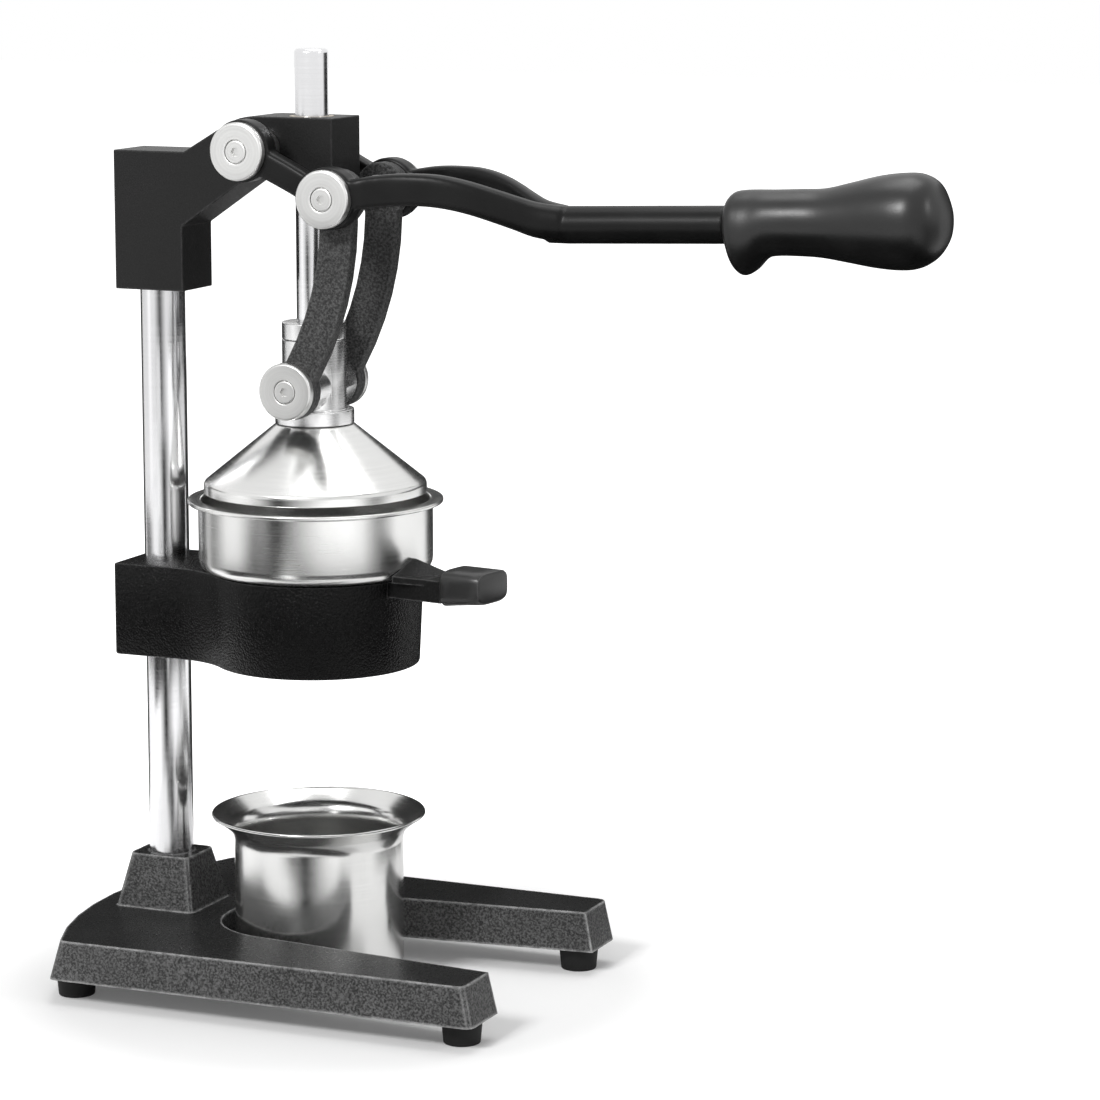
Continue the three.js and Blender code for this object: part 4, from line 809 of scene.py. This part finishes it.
drill = turned([(0, 215, 0), (TAB_HEAD_R, 215, 0), (TAB_HEAD_R, TAB_SEAT, 0), (TAB_SHANK_R, TAB_SEAT, 0),
                (TAB_SHANK_R, 236, 0), (0, 236, 0)], TAB_SCREW_X, steps=SMALL_STEPS)
carve(tab, "DIFFERENCE", to_object("hole", handle_place(hole)), to_object("drill", handle_place(drill)))
dress(tab, TAB_PLASTIC, "stand", ["funnel_handle_grip"], angle=40)

# Feet

FOOT_LOW_R, FOOT_TOP_R, FOOT_TOP = 10, 11.2, 13.2
FOOT_DISH_R, FOOT_BORE, FOOT_SEAT = 5.3, 2.8, 6.0
for end, x in (("rear", -17.5), ("front", 218.0)):
    for place, y in (("near", -80.0), ("far", 80.0)):
        foot = turned([(FOOT_DISH_R, 0, 0.3), (FOOT_LOW_R, 0, 0.8), (FOOT_TOP_R, FOOT_TOP, 0.5),
                       (FOOT_BORE, FOOT_TOP, 0), (FOOT_BORE, FOOT_SEAT, 0), (FOOT_DISH_R, FOOT_SEAT, 0)],
                      x, y, steps=SMALL_STEPS * 2, closed=True)
        node = f"foot_{end}_{place}"
        dress(to_object(node + "_rubber", foot), RUBBER, "stand", [node])

# CAD nodes that show as they are

for node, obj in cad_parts.items():
    if obj.hide_render:
        continue
    key = next((k for k in ("link_pin", "cross", "main") if node.startswith(k)), None)
    if "bush" in node:
        material, slot = BRONZE, "bush_bronze"
    elif key and ("pin" in node or "spacer" in node):
        material, slot = PIN_STEEL[key], "fastener_steel"
    else:
        material, slot = SCREW_STEEL, "fastener_steel"
    obj.data.materials.clear()
    obj.data.materials.append(material)

# Floor, light and camera

CAMERA_AZIMUTH = math.radians(23.31)
TOWARDS_CAMERA = Vector((math.sin(CAMERA_AZIMUTH), -math.cos(CAMERA_AZIMUTH), 0))
ACROSS = Vector((math.cos(CAMERA_AZIMUTH), math.sin(CAMERA_AZIMUTH), 0))


def seen_as_background(tree):
    """One for the rays that see the backdrop, directly or in a shiny surface."""
    path = tree.nodes.new("ShaderNodeLightPath")
    return sums(tree, "MAXIMUM", path.outputs["Is Camera Ray"],
                sums(tree, "MAXIMUM", path.outputs["Is Glossy Ray"], path.outputs["Is Transmission Ray"]))


FLOOR_HALF, FLOOR_DROP = 9.0, 0.0001
SHADE_START, SHADE_END, SHADE_FLOOR = 0.16, 0.4, 0.1
WORLD_LIGHT = 0.4

floor_mesh = bmesh.new()
bmesh.ops.create_grid(floor_mesh, x_segments=1, y_segments=1, size=FLOOR_HALF)
floor_data = bpy.data.meshes.new("counter")
floor_mesh.to_mesh(floor_data)
floor_mesh.free()
counter = bpy.data.objects.new("counter", floor_data)
counter.location.z = -FLOOR_DROP
bpy.context.scene.collection.objects.link(counter)
counter_paint, tree, shader, place = new_material("counter_white")
shader.inputs["Base Color"].default_value = (0.9, 0.9, 0.9, 1)
shader.inputs["Roughness"].default_value = 0.9
shader.inputs["Specular IOR Level"].default_value = 0.0
shader.inputs["Emission Color"].default_value = (1, 1, 1, 1)

# White to the camera, half as bright in shiny surfaces, and less bright close to the base, where
# the shadow lies
path = tree.nodes.new("ShaderNodeLightPath")
mirrored = sums(tree, "MAXIMUM", path.outputs["Is Glossy Ray"], path.outputs["Is Transmission Ray"])
seen = sums(tree, "MAXIMUM", path.outputs["Is Camera Ray"], sums(tree, "MULTIPLY", mirrored, 0.5))
from_base = add(tree, "ShaderNodeVectorMath", [(0, place)], operation="SUBTRACT")
from_base.inputs[1].default_value = (-0.1, 0, 0)
away = add(tree, "ShaderNodeVectorMath", [(0, from_base.outputs[0])], operation="LENGTH").outputs["Value"]
glow = ramp(tree, away, SHADE_START, SHADE_END, SHADE_FLOOR, 1.0)
tree.links.new(sums(tree, "MULTIPLY", seen, glow), shader.inputs["Emission Strength"])
counter.data.materials.append(counter_paint)

world = bpy.data.worlds.new("studio")
bpy.context.scene.world = world
world.use_nodes = True
tree = world.node_tree
background = tree.nodes["Background"]
background.inputs["Color"].default_value = (1, 1, 1, 1)
tree.links.new(ramp(tree, seen_as_background(tree), 0.0, 1.0, WORLD_LIGHT, 1.0),
               background.inputs["Strength"])


def in_front(across, towards, height):
    """A place in millimetres from the column's foot: to the camera's right, towards it, and up."""
    flat = ACROSS * across + TOWARDS_CAMERA * towards
    return Vector((COLUMN_X + flat.x * MM, flat.y * MM, height * MM))


def lamp(name, place, aim, size, power):
    """An area lamp of a size in metres and a power in watts."""
    data = bpy.data.lights.new(name, "AREA")
    data.shape = "RECTANGLE"
    data.size, data.size_y = size
    data.energy = power
    obj = bpy.data.objects.new(name, data)
    obj.location = place
    obj.rotation_euler = (aim - place).to_track_quat("-Z", "Y").to_euler()
    bpy.context.scene.collection.objects.link(obj)
    return obj


MIDDLE = in_front(120, 0, 260)
lamp("key_softbox", in_front(-830, 1500, 1500), MIDDLE, (0.5, 0.5), 26)
lamp("top_softbox", in_front(300, -200, 1800), MIDDLE, (1.0, 1.0), 9)
lamp("right_softbox", in_front(1500, 700, 1000), MIDDLE, (0.4, 0.4), 2.5)

COLUMN_AXIS = (0.0, 0.0)
PRESS_AXIS = (86.0, 37.0)


def around(centre, radius, start, end, steps=24):
    """Places (across, towards) on an arc; degrees run from the camera's side to the right."""
    turns = [math.radians(start + (end - start) * k / steps) for k in range(steps + 1)]
    return [(centre[0] + radius * math.sin(turn), centre[1] + radius * math.cos(turn)) for turn in turns]


def band(centre, radius, card_radius, start, end, steps=24):
    """Places on a card that an upright bar mirrors between two shares of its half width."""
    turns = []
    for k in range(steps + 1):
        share = max(-1.0, min(1.0, start + (end - start) * k / steps))
        turns.append(2 * math.asin(share) - math.asin(share * radius / card_radius))
    return [(centre[0] + card_radius * math.sin(turn), centre[1] + card_radius * math.cos(turn))
            for turn in turns]


def upright(places, low, high):
    """The lower and upper line of an upright card."""
    return [[in_front(*place, height) for place in places] for height in (low, high)]


def level(inner, outer, height):
    """The two lines of a level card."""
    return [[in_front(*place, height) for place in places] for places in (inner, outer)]


def reflection_card(name, lines, shade, start_fade=0.0, end_fade=0.0, first_fade=0.0, last_fade=0.0):
    """A card between two lines of places that only shiny surfaces see; its ends and lines may fade."""
    bm = bmesh.new()
    uv = bm.loops.layers.uv.new("card")
    rows = [[bm.verts.new(place) for place in line] for line in lines]
    spans = len(rows[0]) - 1
    for k in range(spans):
        corners = ((0, k), (0, k + 1), (1, k + 1), (1, k))
        face = bm.faces.new([rows[row][i] for row, i in corners])
        for loop, (row, i) in zip(face.loops, corners):
            loop[uv].uv = (i / spans, row)
    data = bpy.data.meshes.new(name)
    bm.to_mesh(data)
    bm.free()
    obj = bpy.data.objects.new(name, data)
    bpy.context.scene.collection.objects.link(obj)
    paint, tree, shader, place = new_material(name)
    shader.inputs["Base Color"].default_value = (0, 0, 0, 1)
    shader.inputs["Specular IOR Level"].default_value = 0.0
    shader.inputs["Emission Color"].default_value = (1, 1, 1, 1)
    shader.inputs["Emission Strength"].default_value = shade
    spot = add(tree, "ShaderNodeSeparateXYZ", [(0, add(tree, "ShaderNodeUVMap", uv_map="card").outputs[0])])
    along, up = spot.outputs[0], spot.outputs[1]
    ends = [ramp(tree, source, 0.0, fade) if side else ramp(tree, source, 1.0, 1.0 - fade)
            for source, side, fade in ((along, 1, start_fade), (along, 0, end_fade), (up, 1, first_fade),
                                       (up, 0, last_fade)) if fade]
    if ends:
        cover = ends[0]
        for end in ends[1:]:
            cover = sums(tree, "MULTIPLY", cover, end)
        tree.links.new(cover, shader.inputs["Alpha"])
    data.materials.append(paint)
    obj.visible_camera = False
    obj.visible_diffuse = False
    obj.visible_shadow = False
    obj.visible_transmission = False
    return obj


# Each card's name, lines, shade, and the fades of its start, end, first line and last line
UNDER_LEVER = [(90, 257), (398, 390)], [(260, -138), (568, -5)]
for name, lines, shade, fades in (
        # Behind everything, to both sides of the head, and beside the base's ends
        ("rear_card", upright([(-420, -300), (470, -300)], 0, 430), 0.03, (0.1, 0.1)),
        ("head_side_card", upright([(400, -300), (560, -150), (660, 60)], 290, 545), 0.03, (0.0, 0.3)),
        ("left_side_card", upright([(-420, -300), (-540, -60)], 370, 450), 0.05, (0.0, 0.4)),
        ("base_side_card", upright([(250, -240), (390, -120), (450, 90)], 0, 45), 0.04, (0.1, 0.2)),
        # In front, for the dark line down the column
        ("column_band_low", upright(band(COLUMN_AXIS, COLUMN_R, 230, -0.4, 0.22), 20, 146), 0.01,
         (0.4, 0.5)),
        ("column_band", upright(band(COLUMN_AXIS, COLUMN_R, 230, -0.36, 0.15), 290, 400), 0.02,
         (0.45, 0.5)),
        ("left_shine", upright(around((60, 20), 700, -90, -60), 0, 450), 1.3, (0.5, 0.5)),
        # For the dark and bright bands of the bell's rim and the funnel
        ("front_band", upright(band(PRESS_AXIS, FUNNEL_R, 200, -0.56, 0.1), 196, 288), 0.015,
         (0.34, 0.56, 0.0, 0.1)),
        ("funnel_shine", upright(band(PRESS_AXIS, FUNNEL_R, 201, -0.84, -0.5), 205, 262), 1.15, (0.3, 0.4)),
        ("right_band", upright(band(PRESS_AXIS, BELL_R, 500, 0.42, 0.7), 0, 430), 0.4, (0.4, 0.4)),
        ("front_shine", upright(band(PRESS_AXIS, FUNNEL_R, 400, 0.08, 0.44), 100, 330), 1.5, (0.35, 0.35)),
        # For the cup's bands
        ("cup_front", upright(band(PRESS_AXIS, CUP_R, 200, -0.34, 0.2), 0, 64), 0.004, (0.35, 0.6)),
        ("cup_shine_left", upright(band(PRESS_AXIS, CUP_R, 206, -0.8, -0.3), 0, 64), 1.15, (0.3, 0.3)),
        ("cup_shine_right", upright(band(PRESS_AXIS, CUP_R, 206, 0.15, 0.72), 0, 64), 1.0, (0.4, 0.3)),
        ("cup_right", upright(band(PRESS_AXIS, CUP_R, 300, 0.62, 0.92), 0, 60), 0.12, (0.4, 0.0)),
        # For the dark bracket and the paler strip down its ring, and for the block's side
        ("bracket_left", upright(band(PRESS_AXIS, RING_R, 222, -0.8, -0.23), 118, 198), 0.02, (0.1, 0.05)),
        ("bracket_shine", upright(band(PRESS_AXIS, RING_R, 220, -0.29, -0.13), 118, 190), 2.5,
         (0.4, 0.4, 0.0, 0.3)),
        ("bracket_right", upright(band(PRESS_AXIS, RING_R, 222, -0.21, 0.9), 104, 198), 0.02, (0.03, 0.03)),
        ("block_card", upright([(-300, -200), (-320, -60), (-280, 90), (-190, 220), (-90, 292)], 100, 215),
         0.22, (0.1, 0.2)),
        # For the cap at the bottom of the links, the lever's underside, and the head's arm
        ("cap_card", upright([(-118, 160), (-20, 262)], 258, 345), 0.95, (0.15, 0.15)),
        # Dark towards the lever, and just under it pale towards the bell
        ("lever_card", level(*UNDER_LEVER, 340), 0.01, ()),
        ("cone_sky", level(*UNDER_LEVER, 334), 0.9, ()),
        ("arm_light", upright([(30, -290), (110, -290)], 305, 375), 2.0, (0.3, 0.3, 0.3, 0.3))):
    reflection_card(name, lines, shade, *fades)

camera_data = bpy.data.cameras.new("studio_camera")
camera_data.sensor_width = 36.0
camera_data.lens = 131.15
camera_data.clip_end = 50.0
camera = bpy.data.objects.new("studio_camera", camera_data)
eye_at = Vector((COLUMN_X + 1.07757, -1.95606, 0.62136))
look_at = Vector((COLUMN_X + 0.23463, 0.0, 0.25487))
camera.location = eye_at
camera.rotation_euler = (look_at - eye_at).to_track_quat("-Z", "Y").to_euler()
bpy.context.scene.collection.objects.link(camera)
bpy.context.scene.camera = camera
bpy.context.scene.view_settings.view_transform = "Standard"
